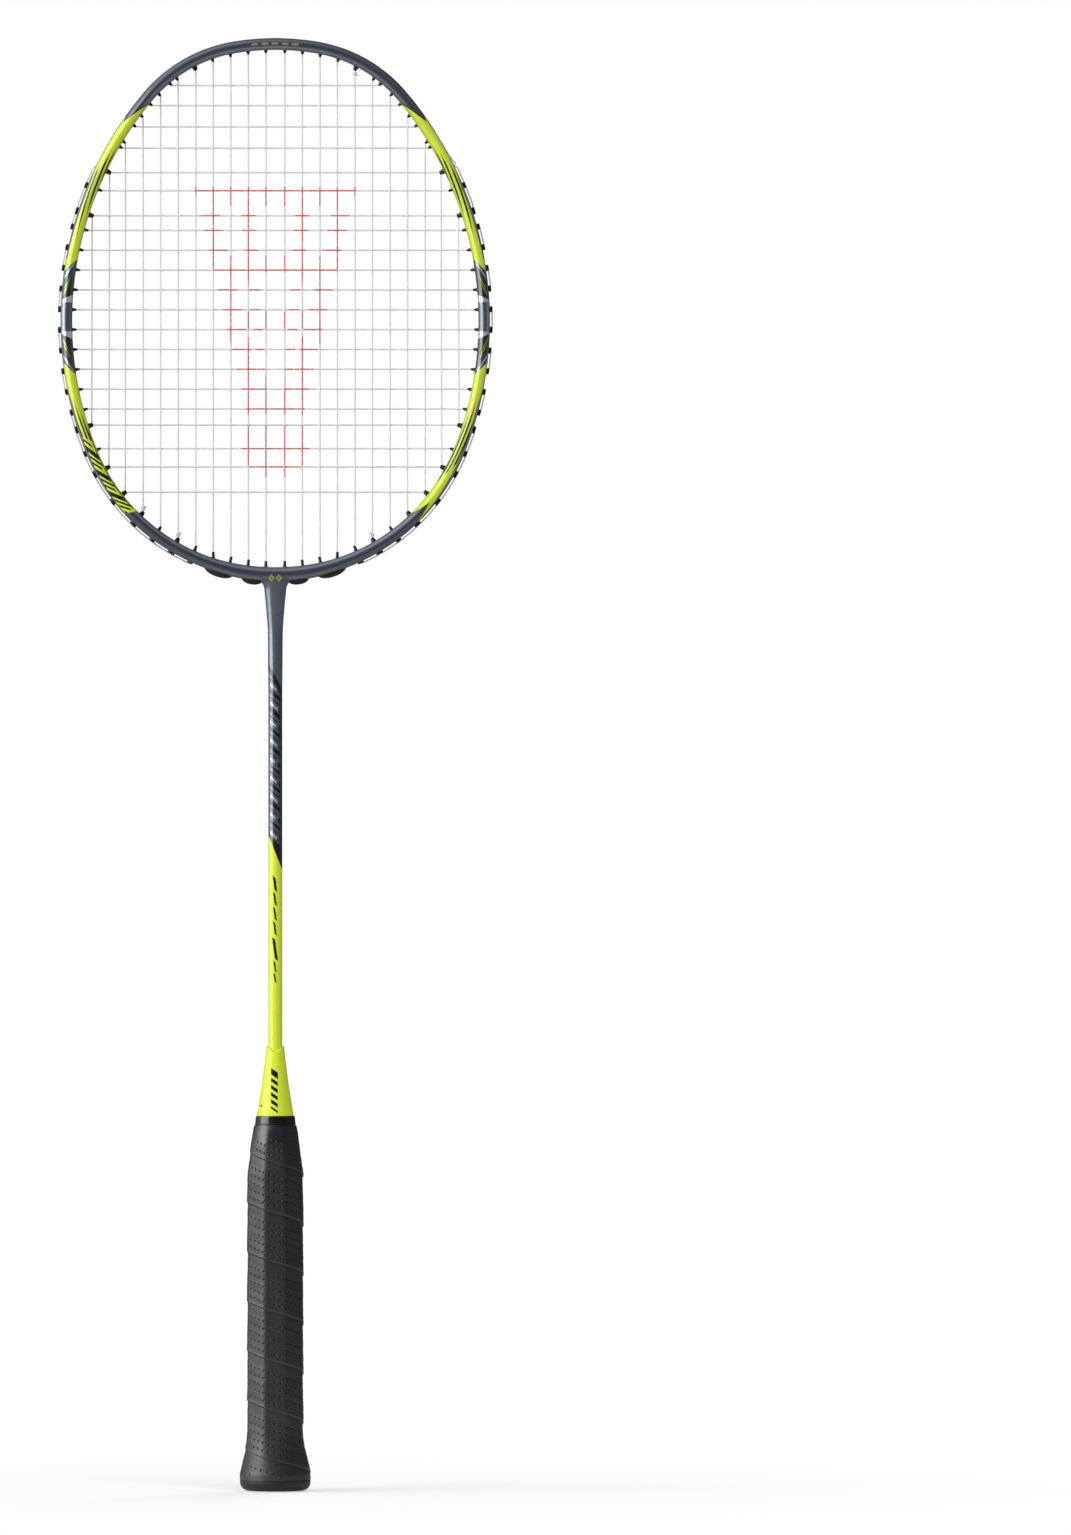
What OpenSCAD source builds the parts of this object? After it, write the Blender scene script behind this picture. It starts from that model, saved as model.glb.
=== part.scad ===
// Badminton racket, millimetres, +Z up along the shaft, front face towards -Y.
// The origin is the centre of the flat face at the butt end of the handle.

/* [Overall] */
// Length from the butt face to the top of the head
overall_len = 675; // [672:0.5:680]

/* [Head outline] */
// Inside width of the head where it is widest
head_w = 188.85; // [188.5:0.05:189.2]
// Inside radius of the crown arc
crown_r = 112.43; // [112:0.01:113]
// Inside radius of the shoulder arc
shoulder_r = 63.7; // [63.5:0.1:64]
// Inside radius of the throat arc
throat_r = 100.03; // [99.8:0.01:100.3]
// Heading where the crown arc ends
crown_a = 9.78; // [9.6:0.01:9.9]
// Heading where the shoulder arc ends
shoulder_a = 49.99; // [49.8:0.01:50.2]
// Heading where the side arc ends
side_a = 112.09; // [111.9:0.01:112.3]
// Heading where the lower arc ends
lower_a = 170.06; // [169.9:0.01:170.2]

/* [Frame tube] */
// In-plane thickness of the frame tube
frame_t = 5.4; // [5.2:0.05:5.6]
// Front-to-back depth of the frame tube
frame_d = 10.6; // [10:0.1:11.4]
// Wall of the frame tube
frame_wall = 0.9; // [0.7:0.05:1]
// Corner radius of the frame tube
frame_edge = 2.3; // [1.8:0.1:2.5]
// Thickness of the hoop where the neck leaves it
throat_t = 6.7; // [6.5:0.1:6.9]
// Heading at which the string groove of the crown ends
groove_a = 42.5; // [42.3:0.1:43]
// Depth of the string groove
groove_depth = 1.2; // [1:0.1:1.3]
// Width of the string groove
groove_w = 4.2; // [4.1:0.1:4.6]

/* [Strings] */
// String gauge
string_d = 0.70; // [0.62:0.01:0.70]
// Distance between the planes of main and cross strings
string_lay = 0.80; // [0.78:0.01:0.84]
// Half the gap between the two middle main strings
main_first = 4.39; // [4.3:0.01:4.5]
// Pitch of the main strings
main_pitch = 8.17; // [8.12:0.01:8.2]
// Drop from the inside of the crown to the first cross string
cross_drop = 15.9; // [15.7:0.1:16.1]
// Pitch of the upper five gaps between cross strings
cross_pitch_top = 9.9; // [9.8:0.05:10]
// Pitch of the other cross strings
cross_pitch = 9.23; // [9.2:0.01:9.26]
// Gap above the lowest cross string
cross_pitch_end = 10.9; // [10.7:0.1:11.1]

/* [Grommets] */
// Outside diameter of a single grommet barrel
grommet_d = 2.0; // [1.8:0.1:2]
// Outside diameter of a barrel that takes two strings
grommet_wide_d = 2.6; // [2.5:0.1:2.6]
// How far a grommet tip stands inside the hoop
tip_len = 1.3; // [1.1:0.1:1.5]
// Thickness of a grommet flange
flange_t = 0.55; // [0.45:0.05:0.55]
// Height of the throat saddles above the frame
saddle_h = 2.4; // [2.2:0.1:2.6]

/* [Shaft] */
// Outside diameter of the shaft
shaft_d = 6.5; // [6.4:0.05:6.6]
// Bore of the shaft tube
shaft_bore = 4.2; // [4.1:0.1:4.4]
// Height of the lower end of the shaft inside the handle
shaft_z0 = 82; // [70:1:95]
// Diameter of the stepped spigot inside the neck
spigot_d = 5.3; // [5.2:0.05:5.35]

/* [Handle] */
// Width across the flats of the grip
grip_af = 25.8; // [25.4:0.1:26.4]
// Radial thickness of the wound grip tape
grip_t = 1.75; // [1.5:0.05:1.9]
// Largest diameter of the flared butt
butt_d = 33; // [32:0.5:34]
// Height of the upper edge of the grip tape
grip_top = 169.8; // [169.4:0.1:169.8]
// Height of the tip of the cone
cone_top = 206.6; // [204:0.1:208]
// Depth of the notch in the front and back of the cone tip
cone_notch = 2.8; // [2:0.1:3.5]

/* [Hidden] */
$fn = 64;

// ---- Outline of the head: five tangent arcs a side ----
// Points are [x, z]. A heading is 0 at the crown, 90 at the right side and 180 at the throat.
function toward(a) = [sin(a), cos(a)];
function heading(point, centre = [0, 0]) = atan2(point[0] - centre[0], point[1] - centre[1]);
function unit(v) = v/norm(v);
inside_top = overall_len - frame_t;
side_r = (head_w/2 - crown_r*sin(crown_a) - shoulder_r*(sin(shoulder_a) - sin(crown_a)))
    / (1 - sin(shoulder_a));
lower_r = (head_w/2 - side_r*(1 - sin(side_a)) - throat_r*sin(lower_a))
    / (sin(side_a) - sin(lower_a));
// Arcs 0 to 4: crown, shoulder, side, lower and throat; arc i spans arc_a[i] to arc_a[i + 1]
arc_a = [0, crown_a, shoulder_a, side_a, lower_a, 180];
arc_r = [crown_r, shoulder_r, side_r, lower_r, throat_r];
function find_centre(i) = i == 0 ? [0, inside_top - crown_r]
    : find_centre(i - 1) + (arc_r[i - 1] - arc_r[i])*toward(arc_a[i]);
arc_centre = [for (i = [0:4]) find_centre(i)];
function arc_at(a) = a < arc_a[1] ? 0 : a < arc_a[2] ? 1 : a < arc_a[3] ? 2 : a < arc_a[4] ? 3 : 4;
function frame_point(a, off) = arc_centre[arc_at(a)] + (arc_r[arc_at(a)] + off)*toward(a);

// Underside of the throat, thickened to an arc of its own
throat_z = arc_centre[4][1] - throat_r - throat_t;
under_r = 86;
under_centre = [0, throat_z + under_r];

// ---- String positions on the right half ----
string_r = string_d/2;
main_y = string_lay/2;
cross_y = -main_y;
// Plane of the outside run that ends each half of the main string
tail_y = main_y + string_lay;
mains = 11;
crosses = 21;
// Height of an outside run's centre line over the frame or the bottom of its groove
ride_h = 1.0;
// Heading by which the first cross hole is moved down the hoop
first_cross_shift = 0.8;
function main_x(j) = main_first + main_pitch*j;
function cross_z(k) = inside_top - cross_drop - cross_pitch_top*min(k, 5)
    - cross_pitch*max(0, min(k, 19) - 5) - (k > 19 ? cross_pitch_end : 0);

// Heading where the line of grommet tips meets the line x = place (axis 0) or z = place (axis 1)
function tip_heading(place, axis, arcs, low = false) = [
    for (i = arcs)
        let (ratio = (place - arc_centre[i][axis])/(arc_r[i] - tip_len))
        if (abs(ratio) <= 1)
            let (a = axis == 1 ? acos(ratio) : low ? 180 - asin(ratio) : asin(ratio))
            if (a >= arc_a[i] - 0.001 && a <= arc_a[i + 1] + 0.001) a][0];
cross_a = [for (k = [0:crosses - 1])
    tip_heading(cross_z(k), 1, [0:4]) + (k == 0 ? first_cross_shift : 0)];

// [main, cross] strings that share a hole, counted from 0; it lies midway between their headings
shared_top = [[9, 4], [10, 6]];
shared_low = [[8, 20], [9, 19], [10, 17]];
// Partner of string i in a list of pairs, or undef; own is the column that i stands in
function partner(pairs, own, i) = [for (pair = pairs) if (pair[own] == i) pair[1 - own]][0];
function share(a, cross) = is_undef(cross) ? a : (a + cross_a[cross])/2;
top_a = [for (j = [0:mains - 1])
    share(tip_heading(main_x(j), 0, [0:2]), partner(shared_top, 0, j))];
low_a = [for (j = [0:mains - 1])
    share(tip_heading(main_x(j), 0, [2:4], true), partner(shared_low, 0, j))];

// Main strings, counted from 0, whose holes also take a string end
main_tie = 5;
cross_tie_top = 4;
cross_tie_low = 7;

// ---- Grommet holes ----
// A hole is [string point at the tip, inward direction, y, wide, surface centre, surface radius]
function hole_tip(hole) = hole[0];
function hole_dir(hole) = hole[1];
function is_wide(hole) = hole[3];
// Gap from the end of the grommet to the string point
function end_gap(wide) = wide ? 0.25 : 0.15;
// How much a hole leans from square to the hoop towards its string
lean = 0.1;
// Tilt of the innermost throat hole from the vertical
inner_tilt = 24;
function outer_arc(a) =
    [arc_centre[arc_at(a)], arc_r[arc_at(a)] + frame_t - (a < groove_a ? groove_depth : 0)];
// Distance outwards from a point, against dir, to a circle
function reach(point, dir, centre, radius) =
    let (arm = point - centre, along = arm*dir)
    along + sqrt(along*along - arm*arm + radius*radius);
function make_hole(a, y, wide, string_dir, throat = false, fixed_dir = undef) =
    let (tip = frame_point(a, -tip_len - end_gap(wide)),
        dir = is_undef(fixed_dir) ? unit(-(1 - lean)*toward(a) + lean*string_dir) : fixed_dir,
        near = throat ? [under_centre, under_r] : outer_arc(a),
        exit = tip - dir*reach(tip, dir, near[0], near[1]),
        face = throat ? near : outer_arc(heading(exit, near[0])))
    [tip, dir, y, wide, face[0], face[1]];
// Point of a hole's axis at a height over the outer surface, and its heading there
function outer_point(hole, height) =
    hole[0] - hole[1]*reach(hole[0], hole[1], hole[4], hole[5] + height);
function outer_a(hole, height) = heading(outer_point(hole, height), hole[4]);
function hole_depth(hole) = norm(outer_point(hole, 0) - hole_tip(hole));

top_holes = [for (j = [0:mains - 1])
    let (shared = !is_undef(partner(shared_top, 0, j)), wide = shared || j == cross_tie_top)
    make_hole(top_a[j], wide ? 0 : main_y, wide, shared ? -toward(top_a[j]) : [0, -1])];
low_holes = [for (j = [0:mains - 1])
    let (shared = !is_undef(partner(shared_low, 0, j)), central = shared || j == cross_tie_low)
    make_hole(low_a[j], j == main_tie ? (main_y + tail_y)/2 : central ? 0 : main_y,
        central || j == main_tie, shared ? -toward(low_a[j]) : [0, 1], j < 4,
        j == 0 ? [-sin(inner_tilt), cos(inner_tilt)] : undef)];
cross_holes = [for (k = [0:crosses - 1])
    let (top = partner(shared_top, 1, k), low = partner(shared_low, 1, k))
    !is_undef(top) ? top_holes[top] : !is_undef(low) ? low_holes[low]
        : make_hole(cross_a[k], cross_y, false, [-1, 0])];
single_crosses = [for (k = [0:crosses - 1])
    if (is_undef(partner(shared_top, 1, k)) && is_undef(partner(shared_low, 1, k))) k];
all_holes = concat(top_holes, low_holes, [for (k = single_crosses) cross_holes[k]]);

// ---- Helpers ----
module both() {
    children();
    mirror([1, 0, 0]) children();
}
// Sweep a profile about a centre between two headings; profile x is radial, y is -Y
module ring(centre, radius, from, to) {
    translate([centre[0], 0, centre[1]]) rotate([90, 0, 0]) rotate([0, 0, 90 - to])
        rotate_extrude(angle = to - from) translate([radius, 0]) children();
}
// Sweep a profile along arc i of the head, off outside its inner edge
module head_arc(i, off, from, to) {
    ring(arc_centre[i], arc_r[i] + off, from, to) children();
}
module strip(thickness, width) { translate([0, -width/2]) square([thickness, width]); }
module rounded_box(x0, x1, depth, r) {
    translate([x0, -depth/2 + r]) square([x1 - x0, depth - 2*r]);
    translate([x0 + r, -depth/2]) square([x1 - x0 - 2*r, depth]);
    for (x = [x0 + r, x1 - r], y = [-depth/2 + r, depth/2 - r]) translate([x, y]) circle(r);
}
module post(z, height, d) { translate([0, 0, z]) cylinder(h = height, d = d); }
// Put a child at a point, with its +Z along a heading
module place(point, y, a) { translate([point[0], y, point[1]]) rotate([0, a, 0]) children(); }
// Stand a child on a hole's axis, local +Z inwards from the tip point
module on_axis(hole) { place(hole_tip(hole), hole[2], heading(hole_dir(hole))) children(); }
// Stand a child square on the outer surface where a hole leaves it
module on_surface(hole, height) {
    place(outer_point(hole, height), hole[2], outer_a(hole, height)) children();
}
function barrel_r(hole) = (is_wide(hole) ? grommet_wide_d : grommet_d)/2;
function bore_r(hole) = is_wide(hole) ? 0.88 : 0.5;

// ---- Head frame, with its neck ----
neck_len = 51.5;
neck_z0 = throat_z - neck_len;
neck_depth = 9.8;
spigot_top = throat_z - 14.2;
// Strip under the throat
under_t = 1.9;
under_w = 9.2;
under_half_a = 25.5;
// Stem of the T joint
stem_d = 3.9;
stem_top = throat_z + 3;
// Neck outline, [radius, height over throat_z]
neck_outline = [[0, -neck_len], [shaft_d/2, -neck_len], [shaft_d/2 + 0.03, -44], [3.4, -36.7],
    [3.45, -27.7], [3.52, -22.7], [3.82, -18.1], [4.2, -13.4], [4.6, -8.8], [5.15, -4.1],
    [5.6, -1.8], [6.4, 0.4], [6.4, 2.1], [0, 2.1]];

// thin takes the wall down from both sides, so that one arc can run into the wall of the next
module tube_profile(grooved, thin = 0) {
    wall = frame_wall - thin;
    difference() {
        rounded_box(thin, frame_t - thin, frame_d - 2*thin, frame_edge);
        difference() {
            rounded_box(wall, frame_t - wall, frame_d - 2*wall, frame_edge - frame_wall);
            if (grooved) translate([frame_t - groove_depth - wall, 0])
                translate([0, -groove_w/2 - wall])
                    square([groove_depth + frame_wall, groove_w + 2*wall]);
        }
    }
}
module groove_cut(i, from, to) {
    head_arc(i, frame_t - groove_depth, from, to) strip(groove_depth + 1, groove_w);
}
module neck_solid() {
    intersection() {
        translate([0, 0, throat_z]) rotate_extrude() polygon(neck_outline);
        translate([-10, -neck_depth/2, neck_z0 - 1]) cube([20, neck_depth, 60]);
    }
}
module head_frame() {
    color("yellowgreen") difference() {
        union() {
            head_arc(0, 0, -crown_a, crown_a) tube_profile(true);
            // The shoulder and lower arcs are thinned and run on into their neighbours
            both() for (i = [1:3]) let (lap = i == 2 ? 0 : 0.5)
                head_arc(i, 0, arc_a[i] - lap, arc_a[i + 1] + lap)
                    tube_profile(i == 1, i == 2 ? 0 : 0.03);
            head_arc(4, 0, lower_a, 360 - lower_a) tube_profile(false);
            ring(under_centre, under_r - under_t, 180 - under_half_a, 180 + under_half_a)
                strip(under_t, under_w);
            neck_solid();
        }
        // String groove of the crown
        groove_cut(0, -crown_a, crown_a);
        both() groove_cut(1, crown_a, groove_a);
        // Grommet holes
        both() for (hole = all_holes) let (depth = hole_depth(hole) + 1.5) on_axis(hole)
            translate([0, 0, -depth]) cylinder(h = depth, r = barrel_r(hole) + 0.05);
        // Bore of the neck for the shaft spigot, and for the stem of the T joint
        post(neck_z0 - 1, spigot_top + 0.2 - neck_z0 + 1, spigot_d + 0.12);
        post(stem_top - 18, 18, stem_d + 0.3);
    }
}
module t_joint_core() {
    half_a = 6.2;
    inner_hole = low_holes[0];
    color("dimgray") difference() {
        union() {
            head_arc(4, 1.1, 180 - half_a, 180 + half_a) strip(3.0, 7.2);
            post(stem_top - 39, 39, stem_d);
        }
        both() on_axis(inner_hole)
            translate([0, 0, -12]) cylinder(h = 12, r = barrel_r(inner_hole) + 0.2);
    }
}

// ---- Shaft ----
module shaft() {
    color("darkslategray") difference() {
        union() {
            post(shaft_z0, neck_z0 - 0.1 - shaft_z0, shaft_d);
            post(neck_z0 - 1, spigot_top - neck_z0 + 1, spigot_d);
        }
        post(shaft_z0 - 1, 400, shaft_bore);
    }
}
module shaft_end_plug() {
    color("whitesmoke") {
        post(shaft_z0 - 0.1, 8, shaft_bore - 0.15);
        post(shaft_z0 - 1.1, 1, shaft_d - 0.1);
    }
}

// ---- Handle ----
core_top = 166;
skirt_r = 8.3;
skirt_clear = 0.08;
cone_bore_r = shaft_d/2 + 0.08;
// Height at which the cone tip notches would be notch_slope_h deep at half width notch_half_w
notch_half_w = 3.4;
notch_reach = 5;
// Height where the handle begins to taper, and where the butt flare ends
taper_z = 146;
flare_top = 31;
// Clearance between handle core and tape
tape_clear = 0.08;
// Bores and legs of the staple
staple_x = 3.8;
staple_z = 1.45;
staple_bore = 1.1;
plate_r = 11;
plate_t = 0.85;
// Turned outlines, [radius, z]
cone_outline = [[cone_bore_r, core_top + 0.15], [skirt_r, core_top + 0.15], [skirt_r, 174.2],
    [8.5, 174.25], [7.9, 178.2], [6.65, 185.7], [5.45, 195], [4.0, cone_top],
    [cone_bore_r, cone_top]];
band_outline = [[skirt_r + skirt_clear, 170], [9.35, 170], [9.3, 171.4], [8.95, 174.0],
    [8.8, 174.1], [skirt_r + skirt_clear, 174.1]];
flare_outline = [[butt_d/2, 7.6], [15.85, 10.4], [14.65, 15.7], [13.65, 20.4],
    [grip_af/2 + 0.1, 26.5], [grip_af/2 - 0.4, flare_top]];
cap_outline = [[0, plate_t + 0.1], [plate_r + 0.1, plate_t + 0.1], [plate_r + 0.1, 0.05],
    [12.2, 0.05], [14.2, 0.55], [15.4, 1.4], [16.1, 2.7], [16.35, 4.9],
    [butt_d/2 - grip_t, 4.9], [butt_d/2 - grip_t, 3.9], [0, 3.9]];

module cone_cap() {
    notch_rise = notch_reach*cone_notch/notch_half_w;
    color("yellowgreen") difference() {
        rotate_extrude() polygon(cone_outline);
        for (turn = [0, 180]) rotate([0, 0, turn]) translate([0, 0.5, cone_top - cone_notch])
            rotate([90, 0, 0]) linear_extrude(12)
                polygon([[0, 0], [notch_reach, notch_rise], [-notch_reach, notch_rise]]);
    }
}
module finishing_band() { color("black") rotate_extrude() polygon(band_outline); }
// Octagonal bar, rounded and tapered by a turned envelope, with a turned flare at the butt;
// inset is how far its sides lie inside the outer face of the grip
module handle_bar(inset, z0, z1, taper_start, top_r) {
    corner_r = grip_af/2 + 0.75 - inset;
    intersection() {
        translate([0, 0, z0]) rotate([0, 0, 22.5])
            cylinder(h = z1 - z0, r = (grip_af/2 - inset)/cos(22.5), $fn = 8);
        rotate_extrude()
            polygon([[0, z0], [corner_r, z0], [corner_r, taper_start], [top_r, z1], [0, z1]]);
    }
    rotate_extrude() polygon(concat([[0, z0], [butt_d/2 - inset, z0]],
        [for (p = flare_outline) [p[0] - inset, p[1]]], [[0, flare_top]]));
}
module at_staple_legs(z) { for (x = [-staple_x, staple_x]) translate([x, 0, z]) children(); }
module handle_core() {
    color("burlywood") difference() {
        handle_bar(grip_t, 4, core_top, taper_z, 8.25);
        post(shaft_z0 - 1.2, 100, shaft_d + 0.16);
        at_staple_legs(0) cylinder(h = 11.2, d = staple_bore);
    }
}
module grip_tape() {
    color([0.2, 0.19, 0.2]) difference() {
        handle_bar(0, 5, grip_top, taper_z, 9.95);
        union() {
            handle_bar(grip_t - tape_clear, 4, core_top, taper_z + 0.03, 8.36);
            post(core_top - 0.5, 10, 2*(skirt_r + skirt_clear));
        }
    }
}
module butt_cap() {
    color([0.1, 0.1, 0.1]) difference() {
        rotate_extrude() polygon(cap_outline);
        at_staple_legs(0) cylinder(h = 6, d = staple_bore);
        translate([-4.4, -0.6, 0.5]) cube([8.8, 1.2, 1.5]);
    }
}
module butt_plate() { color("silver") cylinder(h = plate_t, r = plate_r); }
module butt_staple() {
    color("goldenrod") {
        at_staple_legs(staple_z) cylinder(h = 9.5, d = 0.9);
        translate([-staple_x, 0, staple_z]) rotate([0, 90, 0]) cylinder(h = 2*staple_x, d = 0.8);
        at_staple_legs(staple_z) sphere(d = 0.92);
    }
}

// ---- Strings ----
// Heading by which an outside run goes on past the axis of a hole
run_lap = 0.3;

module rod(from, to, y, r = string_r) {
    place(from, y, heading(to, from)) cylinder(h = norm(to - from), r = r);
}
// Run along the outside of the frame between two headings. Alternate arcs are a
// little thinner, so that their ends lie inside their neighbours.
module arc_run(from, to, y, height) {
    for (i = [0:4])
        let (low = max(from, arc_a[i]), high = min(to, arc_a[i + 1]),
            thin = i % 2 == 1, lap = thin ? 0.4 : 0)
        if (high > low + 0.02)
            head_arc(i, frame_t + height, low - (low > from ? lap : 0), high + (high < to ? lap : 0))
                translate([0, -y]) circle(thin ? string_r - 0.02 : string_r);
}
// Straight length that runs on past both of its ends
module link(from, to, y0, y1, past) {
    flat = norm(to - from);
    place(from, y0, heading(to, from)) rotate([-atan2(y1 - y0, flat), 0, 0])
        translate([0, 0, -past]) cylinder(h = norm([flat, y1 - y0]) + 2*past, r = string_r);
}
// Outside run from one hole to the next; where the groove ends it climbs out of it
module run(from, to, y) {
    start = outer_a(from, ride_h);
    end = outer_a(to, ride_h);
    groove_h = ride_h - groove_depth;
    if (start < groove_a && end > groove_a) {
        climb_start = max(start, groove_a - 4.2);
        climb_end = groove_a - 0.2;
        if (climb_start > start + 0.3) arc_run(start - run_lap, climb_start, y, groove_h);
        link(frame_point(climb_start, frame_t + groove_h),
            frame_point(climb_end, frame_t + ride_h), y, y, 0.15);
        arc_run(climb_end, end + run_lap, y, ride_h);
    } else arc_run(start - run_lap, end + run_lap, y, start < groove_a ? groove_h : ride_h);
}
// The part of a string inside a grommet
module through(hole, y) {
    rod(hole_tip(hole) + 0.1*hole_dir(hole), outer_point(hole, ride_h - 0.02), y, string_r - 0.04);
}
module main_half() {
    for (j = [0:mains - 1]) {
        rod(hole_tip(low_holes[j]), hole_tip(top_holes[j]), main_y);
        through(top_holes[j], main_y);
        through(low_holes[j], main_y);
    }
    for (j = [1:2:9]) run(top_holes[j], top_holes[j + 1], main_y);
    for (j = [4:2:8]) run(low_holes[j + 1], low_holes[j], main_y);
    for (j = [0, 2])
        ring(under_centre, under_r + ride_h, outer_a(low_holes[j + 1], ride_h) - run_lap,
            outer_a(low_holes[j], ride_h) + run_lap) translate([0, -main_y]) circle(string_r);
    // The last end runs down the outside to its tie-off hole
    last = low_holes[mains - 1];
    tie = low_holes[main_tie];
    tail_a = outer_a(last, ride_h) + 1.6;
    link(outer_point(last, ride_h), frame_point(tail_a, frame_t + ride_h), main_y, tail_y, 0.3);
    arc_run(tail_a, outer_a(tie, ride_h) + run_lap, tail_y, ride_h);
    through(tie, tail_y);
}
module main_string() {
    half_a = outer_a(top_holes[0], ride_h) + 0.2;
    color("gainsboro") {
        both() main_half();
        head_arc(0, frame_t + ride_h - groove_depth, -half_a, half_a)
            translate([0, -main_y]) circle(string_r);
    }
}
// Cross string end, run along the outside to its tie-off hole
module cross_end(from, to, tie, height) {
    arc_run(outer_a(from, ride_h) - run_lap, outer_a(to, ride_h) + run_lap, cross_y, height);
    through(tie, cross_y);
}
module cross_string() {
    top_tie = top_holes[cross_tie_top];
    low_tie = low_holes[cross_tie_low];
    color("lightgray") {
        for (hole = cross_holes) let (tip = hole_tip(hole)) {
            rod([-tip[0], tip[1]], tip, cross_y);
            both() through(hole, cross_y);
        }
        for (k = [1:2:19]) run(cross_holes[k], cross_holes[k + 1], cross_y);
        mirror([1, 0, 0])
            for (k = [0:2:18]) run(cross_holes[k], cross_holes[k + 1], cross_y);
        // The upper end ties off on the right, the lower end on the left
        cross_end(top_tie, cross_holes[0], top_tie, ride_h - groove_depth);
        mirror([1, 0, 0]) cross_end(cross_holes[crosses - 1], low_tie, low_tie, ride_h);
    }
}
// Knot round a main string, next to the first hole and facing the second
module knot(hole, opposite) {
    inner_r = string_r + 0.05;
    place(hole_tip(hole), main_y, heading(hole_tip(opposite), hole_tip(hole)))
        translate([0, 0, 0.75]) rotate_extrude() polygon([[inner_r, 0], [0.85, 0], [1.05, 0.3],
            [1.05, 1.5], [0.8, 1.8], [inner_r, 1.8]]);
}
module string_knots() {
    color("gainsboro") {
        both() knot(low_holes[main_tie], top_holes[main_tie]);
        knot(top_holes[cross_tie_top], low_holes[cross_tie_top]);
        mirror([1, 0, 0]) knot(low_holes[cross_tie_low], top_holes[cross_tie_low]);
    }
}

// ---- Grommets ----
// Flange, barrel and tapered tip, bored through
module grommet(hole) {
    barrel = barrel_r(hole);
    bore = bore_r(hole);
    depth = hole_depth(hole);
    taper_len = tip_len + 0.2;
    difference() {
        union() {
            on_surface(hole, 0.03) cylinder(h = flange_t, r = barrel + 0.42);
            on_axis(hole) {
                translate([0, 0, -depth - 0.25]) cylinder(h = depth + 0.25 - taper_len, r = barrel);
                translate([0, 0, -taper_len])
                    cylinder(h = taper_len - end_gap(is_wide(hole)), r1 = barrel, r2 = bore + 0.22);
            }
        }
        on_axis(hole) translate([0, 0, -depth - 3]) cylinder(h = depth + 6, r = bore);
    }
}
module grommets(holes) { color([0.1, 0.1, 0.11]) for (hole = holes) grommet(hole); }
shoulder_holes = concat([for (k = [0:3]) cross_holes[k]], [for (j = [6:8]) top_holes[j]]);
side_holes = [for (k = single_crosses) if (k > 3) cross_holes[k]];
module grommets_crown() { both() grommets([for (j = [0, 1, 2, 3, 5]) top_holes[j]]); }
module grommets_shoulder_right() { grommets(shoulder_holes); }
module grommets_shoulder_left() { mirror([1, 0, 0]) grommets(shoulder_holes); }
module grommets_side_right() { grommets(side_holes); }
module grommets_side_left() { mirror([1, 0, 0]) grommets(side_holes); }
module grommets_shared() {
    both() grommets(concat([for (pair = shared_top) top_holes[pair[0]]],
        [for (pair = shared_low) low_holes[pair[0]]]));
}
module grommets_tie_off() {
    both() grommets([top_holes[cross_tie_top], low_holes[main_tie], low_holes[cross_tie_low]]);
}
module grommets_lower() { both() grommets([low_holes[6], low_holes[4]]); }
module grommets_throat() { both() grommets([for (j = [0:3]) low_holes[j]]); }

// Saddle over a pair of throat holes, with a channel for the string and pockets for the flanges
module saddle(outer, inner) {
    margin = asin((grommet_d/2 + 1.2)/under_r);
    start = outer_point(outer, ride_h);
    end = outer_point(inner, ride_h);
    difference() {
        ring(under_centre, under_r, outer_a(outer, 0) - margin, outer_a(inner, 0) + margin)
            polygon([[0.06, -2.4], [1.3, -2.4], [saddle_h, -1.4],
                [saddle_h, 1.4], [1.3, 2.4], [0.06, 2.4]]);
        place(start, main_y, heading(end, start))
            translate([-0.55, -0.5, -0.6]) cube([1.05, 1.0, norm(end - start) + 1.2]);
        for (hole = [outer, inner])
            on_surface(hole, -0.2) cylinder(h = flange_t + 0.35, r = barrel_r(hole) + 0.5);
    }
}
module throat_saddles() {
    color([0.13, 0.13, 0.14]) both() for (j = [0, 2]) saddle(low_holes[j + 1], low_holes[j]);
}

head_frame();
t_joint_core();
shaft();
shaft_end_plug();
cone_cap();
finishing_band();
handle_core();
grip_tape();
butt_cap();
butt_plate();
butt_staple();
main_string();
cross_string();
string_knots();
grommets_crown();
grommets_shoulder_left();
grommets_shoulder_right();
grommets_side_left();
grommets_side_right();
grommets_shared();
grommets_tie_off();
grommets_lower();
grommets_throat();
throat_saddles();
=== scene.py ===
"""A badminton racket standing upright on its butt.

The racket's axis is +Z and the butt rests at z = 0. The head lies in the XZ plane, its right side
at +X, and the front faces -Y. Lengths are millimetres unless a name or comment says otherwise;
meshes are scaled to metres as they are made.
"""
import functools
import math
from contextlib import contextmanager

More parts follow.
